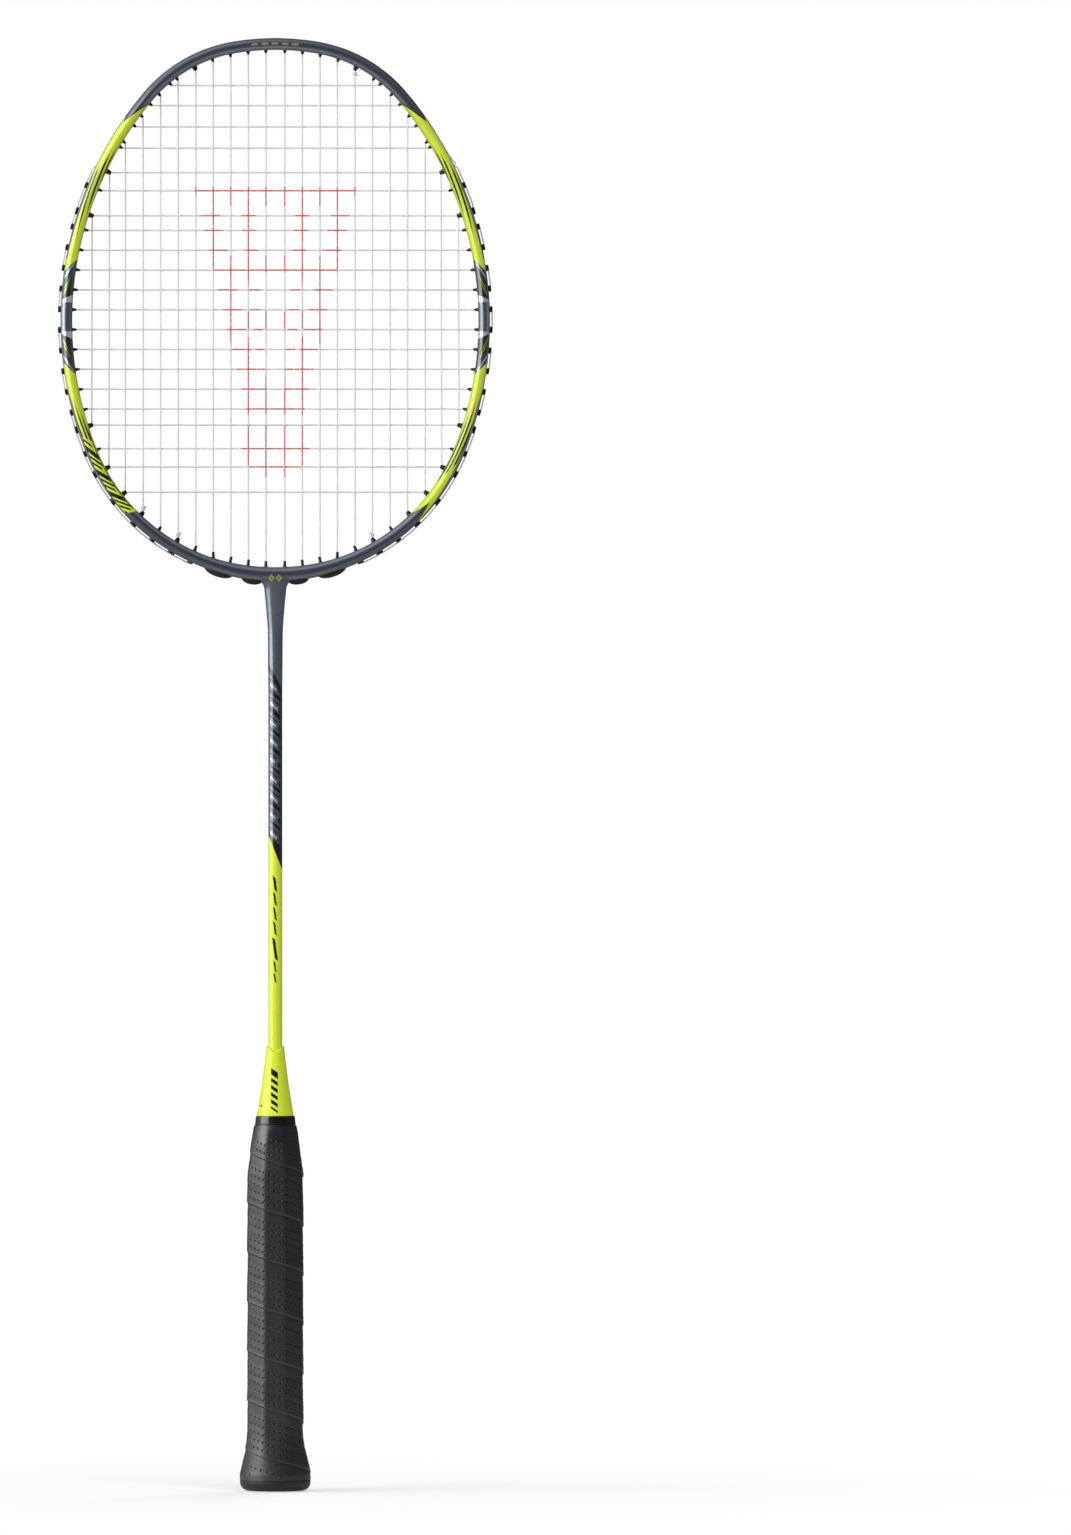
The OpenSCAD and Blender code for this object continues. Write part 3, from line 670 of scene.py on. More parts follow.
def frame_paint():
    m = Material("frame_paint")
    run, across = m.attribute("run"), m.attribute("across")
    right = m.x.above(0.0, soft=0.01)
    left = ~right
    grain = m.noise(scale=2.5)
    cloud = m.noise(scale=0.12, detail=2.0)
    # gunmetal with a dark line of painted shade along the ridge and the outer edge and a light line
    # of painted highlight inside
    grey_painted_light = m.layers(
        m.mix(cloud, rgb(84, 91, 103), rgb(98, 105, 118)),
        (across.between(1.9, 3.5, soft=0.35) * 0.75, rgb(52, 58, 70)),
        (across.between(0.95, 1.45, soft=0.2) * 0.45, rgb(160, 168, 182)),
        (across.between(4.75, 5.1, soft=0.15) * 0.6, rgb(34, 38, 46)))
    # lime, with painted shade at the inner edge and a painted highlight towards the outer one
    lime = m.layers(
        m.mix(cloud, rgb(203, 220, 62), rgb(195, 214, 52)),
        (across.between(-1.0, 0.8, soft=0.4) * 0.4, rgb(160, 186, 40)),
        (across.between(3.3, 4.3, soft=0.5) * 0.35, LIME_PAINTED_HIGHLIGHT))
    # limits of the lime, by run: its pointed upper end, the side panel, its two lower ends
    upper_end = (across * 3.13 + 65.1).min(79.2 - (across - 4.49) * 4.7)
    middle = abs(run - 173.5)
    panel_limit = 27.0 - across * 1.25
    from_point = across - 3.08
    right_end = (from_point * -3.34).max(from_point * 5.1) + 263.8
    left_end = 271.0 - across * 0.6
    lower_end = right_end * right + left_end * left
    is_lime = (run.above(upper_end, soft=0.25) * middle.above(panel_limit, soft=0.12)
               * run.below(lower_end, soft=0.25) * across.below(7.5, soft=0.3))
    outline_mask = (abs(run - upper_end).below(0.85, soft=0.2)
                    + abs(run - right_end).below(0.8, soft=0.2) * right)
    upper_pins = pinstripes(run, across, UPPER_STRIPES)
    lower_pins = pinstripes(run, across, LOWER_STRIPES)
    lower_pins = lower_pins * (right + left * run.below(233.0 - across, soft=0.3)).min(1.0)
    # slanted bars, lower left, with a thin rail along their inner side
    repeat = (run + across * 1.7) / 11.4
    bars = union([
        repeat.fract().between(0.05, 0.34, soft=0.015),
        repeat.fract().between(0.46, 0.60, soft=0.015),
        repeat.fract().between(0.74, 0.88, soft=0.015) * across.between(1.6, 4.6, soft=0.12)])
    bars = (bars * run.between(234.0 - across, 268.5, soft=0.3)
            * across.between(0.75, 4.6, soft=0.1))
    rail = across.between(0.35, 0.75, soft=0.06) * run.between(226.0, 269.0, soft=0.5)
    outer_strip = across.above(5.0, soft=0.1) * abs(m.y).below(3.0, soft=0.1)
    # gold dashes over the front of the crown
    gold = ((m.x / 4.7 + 0.5).fract().between(0.16, 0.80, soft=0.03)
            * abs(m.x).below(11.75, soft=0.1) * across.between(2.35, 3.15, soft=0.07)
            * m.z.above(660, soft=1))
    # the neck carries the shaft's pattern
    neck = m.z.below(421.0, soft=2.5) * abs(m.x).below(12.0, soft=0.5)
    # two small lime diamonds side by side on the front of the throat, hollow in the middle
    diamond_z = m.z - 424.1

    def diamonds(size, soft):
        return (abs(abs(m.x) - 1.75) / 1.45 + abs(diamond_z) / 1.75).below(size, soft)

    diamond = diamonds(1.0, soft=0.08) * m.z.below(440, soft=1) * m.y.below(0.0, soft=0.2)
    flake = m.noise(scale=7.0, detail=1.0)
    colour = m.layers(
        grey_painted_light,
        (is_lime, lime),
        (outline_mask.min(1.0) * across.above(0.3, soft=0.2), BLACK),
        (upper_pins.max(lower_pins) * is_lime, rgb(12, 14, 10)),
        (bars.max(rail) * left, rgb(24, 26, 18)),
        *side_panel_layers(m, middle, panel_limit, across, cloud),
        *outer_band_layers(run, across),
        (outer_strip, rgb(34, 36, 40)),
        (gold * m.y.below(0.0, soft=0.2), rgb(188, 170, 84)),
        (neck, shaft_pattern(m)[0]),
        (diamond * ~diamonds(0.42, soft=0.06), rgb(176, 188, 60)),
        (flake.ramp(0.5, 0.8) * ~is_lime * 0.03, rgb(210, 216, 226)))
    m.surface(
        colour=colour,
        metallic=~is_lime * 0.45 + 0.02,
        specular=~is_lime * 0.5 + 0.4,
        roughness=grain.ramp(0.2, 0.8, low=0.26, high=0.36),
        coat=~is_lime * 0.6 + 0.4,
        coat_roughness=m.noise(scale=0.6, detail=2.0).ramp(0.3, 0.7, low=0.12, high=0.2))
    m.bump(m.noise(scale=0.35, detail=1.0), depth=0.01, strength=0.15)
    return m.data


def shaft_paint():
    m = Material("shaft_paint")
    colour, lime_part = shaft_pattern(m)
    grain = m.noise(scale=2.2)
    m.surface(
        colour=colour,
        metallic=~lime_part * 0.45,
        specular=lime_part * -0.6 + 0.9,
        roughness=grain.ramp(0.2, 0.8, low=0.24, high=0.34),
        coat=lime_part * -0.75 + 1.0,
        coat_roughness=grain.ramp(0.2, 0.8, low=0.13, high=0.19))
    streaks = m.noise(scale=0.5, detail=1.0, vector=m.scaled(1, 1, 0.15))
    m.bump(streaks, depth=0.01, strength=0.15)
    return m.data


def cone_plastic():
    m = Material("cone_plastic")
    grain = m.noise(scale=4.0, detail=2.0)
    slant = m.z + m.x * 0.7
    front = m.y.below(0.0, soft=0.2)
    marks = union(slant.between(start, end, soft=0.1) for start, end in CONE_MARKS)
    dot = ((m.x + 6.5) ** 2.0 + (m.z - 178.9) ** 2.0).below(0.22, soft=0.08) * front
    colour = m.layers(
        m.mix(m.noise(scale=0.3, detail=2.0), LIME, LIME_WARM),
        (m.z.above(205.4, soft=0.5) * 0.25, LIME_DEEP),      # darker lip at the tip
        (marks * abs(m.x + 0.3).below(1.6, soft=0.07) * front, BLACK),
        (dot, rgb(60, 72, 20)))
    m.surface(colour=colour, roughness=grain.ramp(0.2, 0.8, low=0.3, high=0.4),
              specular=0.35, coat=0.12, coat_roughness=0.2)
    m.bump(grain, depth=0.01, strength=0.3)
    m.bump(m.noise(scale=0.4, detail=2.0), depth=0.05, strength=0.2)
    return m.data


def band_tape():
    m = Material("band_tape")
    streaks = m.noise(scale=1.2, vector=m.scaled(0.5, 0.5, 4.0))
    m.surface(colour=m.mix(streaks, rgb(10, 10, 13), rgb(24, 24, 29)),
              roughness=streaks.ramp(0.2, 0.8, low=0.16, high=0.3), coat=0.5, coat_roughness=0.1)
    m.bump(streaks, depth=0.05, strength=0.4)
    return m.data


def grip_polymer():
    m = Material("grip_polymer")
    angle = m.angle()
    along = m.z + angle * GRIP_PITCH
    up_tape = ((along - GRIP_SEAM) / GRIP_PITCH).fract() * GRIP_PITCH   # from its lower edge
    inside = m.z.between(7.0, 163.8, soft=0.2)
    # punched holes: position of each point from the centre of its nearest hole
    row = up_tape - HOLE_START
    from_y = ((row / HOLE_ROW_STEP + 0.5).fract() - 0.5) * HOLE_ROW_STEP
    from_x = ((angle * HOLE_COLUMNS + 0.5).fract() - 0.5) * HOLE_SPACING
    in_rows = row.between(-HOLE_ROW_STEP / 2, HOLE_ROW_STEP * (HOLE_ROWS - 0.5), soft=0.02)
    distance = (from_x ** 2.0 + from_y ** 2.0).sqrt()
    # only holes whose centres lie on the sleeve, so that none is cut off
    whole = (m.z - from_y + from_x * WRAP_SLOPE).between(7.4, 163.4, soft=0.02)
    hole = distance.below(0.46, soft=0.07) * in_rows * whole
    hole_shade_ring = distance.below(0.78, soft=0.16) * in_rows * whole
    fine = m.noise(scale=3.2, detail=4.0, roughness=0.65)
    skin = m.cell_edges(2.2, angle * 78.0, along, 0.0)
    # lighter along the tape's lower edge, a painted highlight on its raised lip, and darker along
    # its upper one, painted shade where it runs under the next turn
    colour = m.layers(
        m.mix(m.noise(scale=0.16), rgb(23, 22, 27), rgb(32, 31, 36)),
        (fine.ramp(0.45, 0.75) * 0.3, rgb(50, 47, 49)),
        (up_tape.below(0.7, soft=0.25) * 0.4 * inside, rgb(48, 46, 49)),
        (up_tape.above(GRIP_PITCH - 1.3, soft=0.5) * 0.6 * inside, rgb(20, 19, 22)),
        # painted shade: a darker ring round each punched hole and a near-black fill inside it
        (hole_shade_ring * 0.35, rgb(22, 21, 24)),
        (hole, rgb(9, 9, 10)))
    pulled = m.z.above(160.5, soft=2.0)     # the bare top end is pulled tight and shines
    matt = fine.ramp(0.25, 0.75, low=0.38, high=0.56) + hole * 0.2
    m.surface(colour=colour, roughness=matt * (pulled * -0.35 + 1.0), specular=0.85,
              sheen=0.03, sheen_roughness=0.5)
    m.bump(skin.ramp(0.0, 0.2), depth=0.03, strength=0.25)
    m.bump(fine, depth=0.05, strength=0.5)
    # faint ribs along the tape, above the rows of holes
    ribs = (up_tape * (TURN / 0.9)).sine()
    m.bump(ribs * up_tape.between(17.9, 21.6, soft=0.3) * inside, depth=0.045, strength=0.4)
    m.bump(~hole, depth=0.12, strength=0.6)
    return m.data


def mottled(name, dark, light, rough=(0.4, 0.55), metallic=0.0, scale=1.2, depth=0.03,
            specular=0.5):
    """A plain material with soft mottling between two colours; rough is its (low, high)."""
    m = Material(name)
    coarse, fine = m.noise(scale, detail=4.0), m.noise(scale * 5)
    m.surface(colour=m.mix(coarse, dark, light), roughness=fine.ramp(0.25, 0.75, *rough),
              metallic=metallic, specular=specular)
    m.bump(fine, depth, strength=0.5)
    return m.data


def stencil(m):
    """Mask of an upright shuttlecock outline on the string bed."""
    dx, z = abs(m.x), m.z
    half = (z - 500.0) * 0.235 + 13.0       # half width of the skirt
    skirt = dx.below(half, soft=0.3) * z.between(500.0, 606.0, soft=0.3)
    inner = dx.below(half - 9.0, soft=0.3) * z.between(509.0, 597.0, soft=0.3)
    ribs = (abs((dx / (half + 0.001)) - 0.36).below(0.10, soft=0.01)
            * z.between(500.0, 606.0, soft=0.3))
    rings = z.between(540.0, 548.0, soft=0.3) + z.between(566.0, 574.0, soft=0.3)
    # the cork's ball; the first term of the rise is always zero
    rise = (z - 487.0).max(0.0) * 0.0 + (z - 487.0)
    cork_radius = 16.5
    ball = ((rise ** 2.0 + dx ** 2.0).below(cork_radius ** 2, soft=4.0)
            * z.below(490.0, soft=0.3))
    cork = ball + dx.below(cork_radius, soft=0.2) * z.between(489.0, 495.0, soft=0.3)
    return union([skirt * ~inner, ribs, skirt * rings.min(1.0), cork.min(1.0)])


def string_nylon():
    m = Material("string_nylon")
    cloud = m.noise(scale=0.5)
    twist = ((m.x + m.z + m.y * 2.0) * (TURN / 0.55)).sine()
    ink = stencil(m)
    wear = m.noise(scale=0.9, detail=2.0).ramp(0.30, 0.55, low=0.55, high=1.0)
    colour = m.layers(
        m.mix(cloud, rgb(206, 207, 210), rgb(224, 225, 228)),
        (ink * wear * abs(m.x).below(52.0, soft=0.4) if False else
         ink * wear * ink_limit(m), rgb(206, 84, 74)))
    m.surface(colour=colour, roughness=cloud.ramp(0.2, 0.8, low=0.3, high=0.42), coat=0.3)
    m.bump(twist, depth=0.02, strength=0.5)
    return m.data


def ink_limit(m):
    """Keeps the stencil's ink to the middle of the bed."""
    return abs(m.x).below(52.0, soft=0.4)


def handle_wood():
    m = Material("handle_wood")
    growth = m.noise(scale=0.35, detail=4.0, vector=m.scaled(1.0, 1.0, 0.05))
    lines = (growth * 46.0).sine()
    pores = m.noise(scale=3.0, vector=m.scaled(1.0, 1.0, 0.08))
    colour = m.layers(
        m.mix(lines.ramp(-1.0, 1.0), rgb(214, 180, 128), rgb(176, 134, 84)),
        (pores.ramp(0.6, 0.75) * 0.5, rgb(120, 84, 48)))
    m.surface(colour=colour, roughness=pores.ramp(0.2, 0.8, low=0.55, high=0.75))
    m.bump(pores, depth=0.05, strength=0.5)
    return m.data


# by slot, then by CAD piece for those that keep their own shapes
MATERIALS = {
    "frame_paint": frame_paint(),
    "shaft_paint": shaft_paint(),
    "cone_plastic": cone_plastic(),
    "band_tape": band_tape(),
    "grip": grip_polymer(),
    "butt_plastic": mottled("butt_plastic", rgb(20, 21, 22), rgb(32, 33, 33),
                            rough=(0.35, 0.5), scale=0.8),
    "butt_plate": mottled("butt_plate", rgb(150, 152, 158), rgb(182, 184, 190),
                          rough=(0.28, 0.42), metallic=0.7, scale=0.6, depth=0.01),
    "string": string_nylon(),
    "grommet_nylon": mottled("grommet_nylon", rgb(12, 12, 14), rgb(22, 22, 25),
                             rough=(0.3, 0.45), scale=1.6, depth=0.015),
    "saddle_rubber": mottled("saddle_rubber", rgb(26, 26, 27), rgb(40, 40, 41),
                             rough=(0.5, 0.68), scale=1.3, specular=0.35),
    "t_joint_core": mottled("core_plastic", rgb(52, 53, 56), rgb(66, 67, 70),
                            rough=(0.45, 0.6), scale=1.0),
    "shaft_end_plug": mottled("plug_plastic", rgb(214, 214, 212), rgb(232, 232, 230), scale=1.0),
    "butt_staple": mottled("staple_brass", rgb(186, 150, 66), rgb(206, 172, 92),
                           rough=(0.25, 0.4), metallic=0.9, scale=2.0, depth=0.01),
    "handle_core": handle_wood(),
}

# --- Frame: hoop and neck in one shell ---
# Half section from the middle of the inner wall to the middle of the outer: (across, depth)
HOOP_SECTION = [
    (0.0, 0.0), (0.0, 0.9), (0.0, 1.7), (0.03, 2.35), (0.13, 2.95), (0.32, 3.5), (0.60, 3.98),
    (0.92, 4.36), (1.28, 4.68), (1.66, 4.93), (2.02, 5.12), (2.36, 5.25), (2.62, 5.30),
    (2.95, 5.26), (3.35, 5.12), (3.75, 4.90), (4.12, 4.62), (4.45, 4.27), (4.74, 3.86),
    (4.99, 3.40), (5.18, 2.92), (5.31, 2.50), (5.38, 2.22), (5.40, 2.12), (5.40, 1.98),
    (5.40, 1.0), (5.40, 0.0)]
GROOVE_FROM = 24                # first point of the section that sinks with the groove
HOOP_STEPS = 720
NECK_BOTTOM = THROAT_Z - 51.5
# (height, half width) and (height, half depth) of the neck
NECK_WIDTHS = [
    (NECK_BOTTOM, 3.25), (THROAT_Z - 50.7, 3.25), (THROAT_Z - 36.7, 3.4),
    (THROAT_Z - 27.7, 3.45), (THROAT_Z - 22.7, 3.52), (THROAT_Z - 18.1, 3.82),
    (THROAT_Z - 13.4, 4.2), (THROAT_Z - 8.8, 4.6), (THROAT_Z - 5.2, 4.98), (419.0, 5.15),
    (420.2, 5.42), (421.2, 5.85), (422.0, 6.45), (422.6, 7.15), (423.0, 7.9), (423.3, 8.7),
    (424.2, 9.2), (427.6, 8.6)]
NECK_DEPTHS = [
    (NECK_BOTTOM, 3.25), (THROAT_Z - 36.7, 3.32), (THROAT_Z - 22.7, 3.6),
    (THROAT_Z - 13.4, 4.05), (418, 4.62), (421.5, 4.9), (424, 5.12), (426, 5.2), (427.6, 5.0)]


def throat_blend(inner_point, direction):
    """Thickness near the throat, where the outer surface eases over to the throat's circle."""
    offset = inner_point - THROAT_CENTRE
    along = float(offset @ direction)
    square = along * along - float(offset @ offset) + THROAT_RADIUS * THROAT_RADIUS
    thick = -along + math.sqrt(square) if square > 0 else 0
    if thick - THICKNESS < 8:
        ease = 0.45
        excess = min(30, (thick - THICKNESS) / ease)
        thick = THICKNESS + ease * math.log1p(math.exp(excess))
    return min(thick, THROAT_THICKNESS + 0.02)


def hoop_rings():
    rings = []
    for i in range(HOOP_STEPS):
        run = -ARC_RUNS[5] + 2 * ARC_RUNS[5] * i / HOOP_STEPS
        side = 1 if run >= 0 else -1
        run = abs(run)
        k = 0
        while k < 4 and run > ARC_RUNS[k + 1]:
            k += 1
        heading = ARC_ENDS[k] + (run - ARC_RUNS[k]) / ARC_RADII[k] / DEGREE
        inner, direction = outline(heading, 0), outward(heading)
        thick = throat_blend(inner, direction) if heading > 140 else THICKNESS
        groove = GROOVE_DEPTH * float(1 - smooth(heading, GROOVE_END - 2.4, GROOVE_END - 0.1))
        half = []
        for j, (across, y) in enumerate(HOOP_SECTION):
            offset = across * thick / THICKNESS - (groove if j >= GROOVE_FROM else 0)
            half.append((inner + direction * offset, y))
        points = [(p[0] * side, -y, p[1]) for p, y in half]
        points += [(p[0] * side, y, p[1]) for p, y in reversed(half[1:-1])]
        rings.append(points)
    return np.array(rings)


def neck_rings():
    """Round at the shaft, squarer towards the hoop, with a small fillet where they meet."""
    rings = []
    for z in np.concatenate([np.linspace(NECK_BOTTOM, 416, 60), np.linspace(416.4, 427.6, 36)]):
        half_width = float(interpolate(z, NECK_WIDTHS))
        half_depth = float(interpolate(z, NECK_DEPTHS))
        power = 2 / (2.0 + 0.5 * float(smooth(z, 385, 415)))
        ring = []
        for j in range(64):
            c, s = math.cos(TURN * j / 64), math.sin(TURN * j / 64)
            ring.append((half_width * math.copysign(abs(s) ** power, s),
                         -half_depth * math.copysign(abs(c) ** power, c), z))
        rings.append(ring)
    return rings


def hoop_coordinates(x, z):
    """Run from the crown along the inner edge, and distance across on a 5.4 scale."""
    x = abs(x)
    found = []
    for k in range(5):
        heading = heading_about((x, z), ARC_CENTRES[k])
        if heading < 0:
            heading += 360
        if ARC_ENDS[k] - 0.02 <= heading <= ARC_ENDS[k + 1] + 0.02:
            across = math.hypot(x - ARC_CENTRES[k][0], z - ARC_CENTRES[k][1]) - ARC_RADII[k]
            run = ARC_RUNS[k] + ARC_RADII[k] * (heading - ARC_ENDS[k]) * DEGREE
            found.append((across, run, heading))
    middle = 2.7
    across, run, heading = min(found, key=lambda item: abs(item[0] - middle),
                               default=(middle, 342.0, 180))
    if heading > 158:
        growth = (THROAT_THICKNESS - THICKNESS) * float(smooth(heading, 158, 174))
        across *= THICKNESS / (THICKNESS + growth)
    return run, across


def make_frame():
    rings = hoop_rings()
    faces = grid_faces(*rings.shape[:2], wrap=True)
    obj = add_object("frame_shell", new_mesh("frame_shell", rings.reshape(-1, 3), faces))
    neck = add_object("neck_tmp", new_mesh("neck_tmp", *closed_shells([neck_rings()])))
    for part in (obj, neck):
        with edited(part.data) as edit:
            bmesh.ops.recalc_face_normals(edit, faces=edit.faces)
    join = obj.modifiers.new("join", "BOOLEAN")
    join.operation = "UNION"
    join.solver = "EXACT"
    join.object = neck
    depsgraph = bpy.context.evaluated_depsgraph_get()
    mesh = bpy.data.meshes.new_from_object(obj.evaluated_get(depsgraph))
    obj.modifiers.clear()
    obj.data = mesh
    mesh.name = "frame_shell"
    bpy.data.objects.remove(neck)
    clean(mesh, sharp=38)
    mesh.materials.clear()
    points = np.zeros(len(mesh.vertices) * 3)
    mesh.vertices.foreach_get("co", points)
    points = points.reshape(-1, 3) * 1000
    values = np.array([hoop_coordinates(x, z) for x, _, z in points])
    for name, column in zip(("run", "across"), values.T):
        attribute = mesh.attributes.new(name, "FLOAT", "POINT")
        attribute.data.foreach_set("value", np.ascontiguousarray(column, dtype=np.float32))
    register(obj, "frame_paint", "head_frame")


# --- Shaft, cone, band and butt: profiles are (r, z) ---
SHAFT_R = 3.25
SHAFT_TOP = THROAT_Z - 51.48
SPIGOT_TOP = THROAT_Z - 14.2    # the narrower end that runs up inside the neck
SHAFT_PROFILE = (
    [(2.1, 82.05), (3.15, 82.0), (SHAFT_R, 82.1)]
    + [(SHAFT_R, z) for z in np.linspace(84, SHAFT_TOP, 60)]
    + [(2.65, SHAFT_TOP + 0.02), (2.65, SPIGOT_TOP - 0.4), (2.45, SPIGOT_TOP),
       (2.1, SPIGOT_TOP)])
# (height, radius) of the cone's outside
CONE_OUTLINE = [
    (174.2, 8.5), (175.2, 8.42), (178.2, 7.9), (182, 7.28), (185.7, 6.68), (190, 6.05),
    (195, 5.42), (200, 4.82), (204, 4.36), (CONE_TOP, 4.08)]
CONE_LEVELS = np.linspace(174.25, CONE_TOP - 0.35, 40)
CONE_PROFILE = (
    [(3.33, 166.15), (8.3, 166.15), (8.3, 174.15), (8.46, 174.2)]
    + list(zip(interpolate(CONE_LEVELS, CONE_OUTLINE), CONE_LEVELS))
    + [(4.02, CONE_TOP - 0.12), (3.88, CONE_TOP), (3.5, CONE_TOP), (3.36, CONE_TOP - 0.1),
       (3.33, CONE_TOP - 1.5), (3.33, 190)])
BAND_PROFILE = [
    (8.36, 170.05), (9.0, 169.95), (9.32, 170.0), (9.46, 170.2), (9.44, 170.55), (9.24, 170.8),
    (9.2, 171.0), (9.2, 171.6), (9.12, 172.4), (9.02, 173.2), (8.92, 173.85), (8.8, 174.08),
    (8.6, 174.14), (8.36, 174.14)]
CAP_PROFILE = [
    (0, 0.88), (10.9, 0.88), (11.15, 0.8), (11.2, 0.3), (11.32, 0.08), (11.6, 0.0),
    (12.4, 0.02), (13.3, 0.16), (14.2, 0.45), (15.0, 0.92), (15.6, 1.5), (16.05, 2.2),
    (16.32, 3.0), (16.42, 3.9), (16.42, 4.75), (16.3, 4.92), (15.4, 4.95), (0, 4.9)]
PLATE_PROFILE = [
    (0, 0.02), (3.2, 0.0), (3.4, 0.10), (3.6, 0.0), (8.6, 0.0), (8.8, 0.10), (9.0, 0.0),
    (10.6, 0.0), (10.95, 0.06), (11.0, 0.2), (11.0, 0.84), (0, 0.86)]


def notch(angle, r, z):
    """Draws the cone's tip down to a shallow V at the front and the back."""
    foot = 196
    if z > foot:
        slope = min(1.0, math.hypot(math.sin(angle), 0.16) / 0.86 - 0.16)
        drop = NOTCH_DEPTH * (1.0 - slope) / 0.975
        lowered = z - drop * (z - foot) / (CONE_TOP - foot)
        if r > 3.6:
            growth = (float(interpolate(lowered, CONE_OUTLINE[-4:]))
                      - float(interpolate(z, CONE_OUTLINE[-4:])))
            r = r + growth * (1 if r > 4.05 else 0.6)
        z = lowered
    return r, z


def tape_end(angle, r, z):
    """The wound tape grows round its turn and ends in a small step at the right."""
    grown, step = 0.16, 0.012
    share = ((angle - 1.45) % TURN) / TURN
    if r > 8.6:
        r += grown * (1 - share) if share > step else grown * share / step
    return r, z


def make_turned_parts():
    # object, profile, steps, reshape, slot, CAD piece
    for name, profile, steps, reshape, slot, replaced in (
            ("shaft_tube", SHAFT_PROFILE, 72, None, "shaft_paint", "shaft"),
            ("cone_shell", CONE_PROFILE, 120, notch, "cone_plastic", "cone_cap"),
            ("finishing_wrap", BAND_PROFILE, 160, tape_end, "band_tape", "finishing_band"),
            ("butt_cap_shell", CAP_PROFILE, 144, None, "butt_plastic", "butt_cap"),
            ("butt_disc", PLATE_PROFILE, 128, None, "butt_plate", "butt_plate")):
        build(name, *revolve(profile, steps, reshape), slot, replaced)


# --- Grip: tape wound over the octagonal bar, each turn lapping the one below ---
TURN_ROWS = 80                  # mesh rows in one turn of the tape
AROUND = HOLE_COLUMNS * 8       # mesh columns
# (height, distance to the flats)
GRIP_RADII = [
    (5, 16.45), (7, 16.45), (10.5, 15.8), (16, 14.6), (20.7, 13.6), (26, 13.02), (31, 12.85),
    (146, 12.85), (153.1, 12.0), (158.3, 11.45), (164.8, 10.75), (168.6, 10.1), (169.8, 9.8)]
# (height, roundness), 0 an octagon and 1 a circle
GRIP_ROUNDNESS = [(5, 1), (10, 0.95), (20, 0.55), (34, 0), (138, 0), (158, 0.35), (169.8, 0.9)]
# (height, distance to the flats, squareness) of the bore, 0 a circle and 1 an octagon
GRIP_BORE = [
    (10.5, 14.2, 0), (16.0, 13.05, 0), (20.7, 12.0, 0.4), (27.0, 11.35, 1), (60.0, 11.28, 1),
    (100.0, 11.28, 1), (146.0, 11.28, 1), (153.1, 10.35, 0.7), (160.0, 9.3, 0.3),
    (166.0, 8.6, 0)]
BORE_BOTTOM_R, BORE_TOP_R = 14.9, 8.45


def grip_radius(angle, along, z):
    up_tape = ((along - GRIP_SEAM + 1e-6) / GRIP_PITCH % 1.0) * GRIP_PITCH
    flats, roundness = interpolate(z, GRIP_RADII), interpolate(z, GRIP_ROUNDNESS)
    power = 30.0                # sharpness of the octagon's corners
    octagon = np.zeros_like(z)
    for k in range(8):
        octagon += np.maximum(0, np.cos(angle - k * math.pi / 4)) ** power
    octagon = octagon ** (-1 / power)
    r = flats * (octagon * (1 - roundness) + roundness)
    # proud at the lower edge of each turn, sunk under the next turn at its upper edge
    lap = 0.36 * (1 - up_tape / GRIP_PITCH) ** 1.1 - 0.10
    lip = 0.10 * np.exp(-((up_tape - 0.55) / 0.5) ** 2)
    r = r + (lap + lip) * (smooth(z, 5.2, 8.5) * (1 - smooth(z, 160.0, 165.5)))
    # slack and pull in the tape
    slack = (0.05 * np.sin(angle * 3 + along * 0.21) + 0.04 * np.sin(angle * 5 - along * 0.33 + 1.1)
             + 0.03 * np.sin(along * 1.1 + angle))
    r = r + slack * smooth(z, 6, 12) * (1 - smooth(z, 158, 168))
    # punched holes with slightly raised rims
    row = up_tape - HOLE_START
    from_y = ((row / HOLE_ROW_STEP + 0.5) % 1.0 - 0.5) * HOLE_ROW_STEP
    from_x = ((angle / TURN * HOLE_COLUMNS + 0.5) % 1.0 - 0.5) * HOLE_SPACING
    distance = np.hypot(from_x, from_y)
    centre_z = z - from_y + WRAP_SLOPE * from_x
    punched = ((row > -HOLE_ROW_STEP / 2) & (row < HOLE_ROW_STEP * (HOLE_ROWS - 0.5))
               & (centre_z > 7.4) & (centre_z < 163.4))
    return (r - 0.42 * (1 - smooth(distance, 0.12, 0.62)) * punched
            + 0.05 * np.exp(-((distance - 0.72) / 0.22) ** 2) * punched)


def grip_sheet():
    """The outer skin: rows follow the tape's slope and are cut flat at both ends."""
    row_step = GRIP_PITCH / TURN_ROWS
    first = int(math.floor((GRIP_BOTTOM - GRIP_PITCH / 2) / row_step)) - 1
    last = int(math.ceil((GRIP_TOP + GRIP_PITCH / 2) / row_step)) + 1
    along, angle = np.meshgrid(np.arange(first, last + 1) * row_step + GRIP_SEAM % row_step,
                               -math.pi + TURN * np.arange(AROUND) / AROUND, indexing="ij")
    uncut = along - GRIP_PITCH * angle / TURN
    z = np.clip(uncut, GRIP_BOTTOM, GRIP_TOP)
    r = grip_radius(angle, along, z)
    verts = np.stack([r * np.sin(angle), -r * np.cos(angle), z], -1).reshape(-1, 3)
    cut_low = (uncut <= GRIP_BOTTOM + 1e-9).ravel()
    cut_high = (uncut >= GRIP_TOP - 1e-9).ravel()
    faces = []
    for i in range(len(along) - 1):
        for j in range(AROUND):
            # the last column joins the first one a whole turn lower
            shift, k = (0, j + 1) if j < AROUND - 1 else (TURN_ROWS, 0)
            if i < shift:
                continue
            low, high = i * AROUND, (i + 1) * AROUND
            back = shift * AROUND
            quad = (low + j, low - back + k, high - back + k, high + j)
            if not (all(cut_low[q] for q in quad) or all(cut_high[q] for q in quad)):
                faces.append(quad)
    return verts, faces


def angle_of(vert):
    return math.atan2(vert.co.x, -vert.co.y)


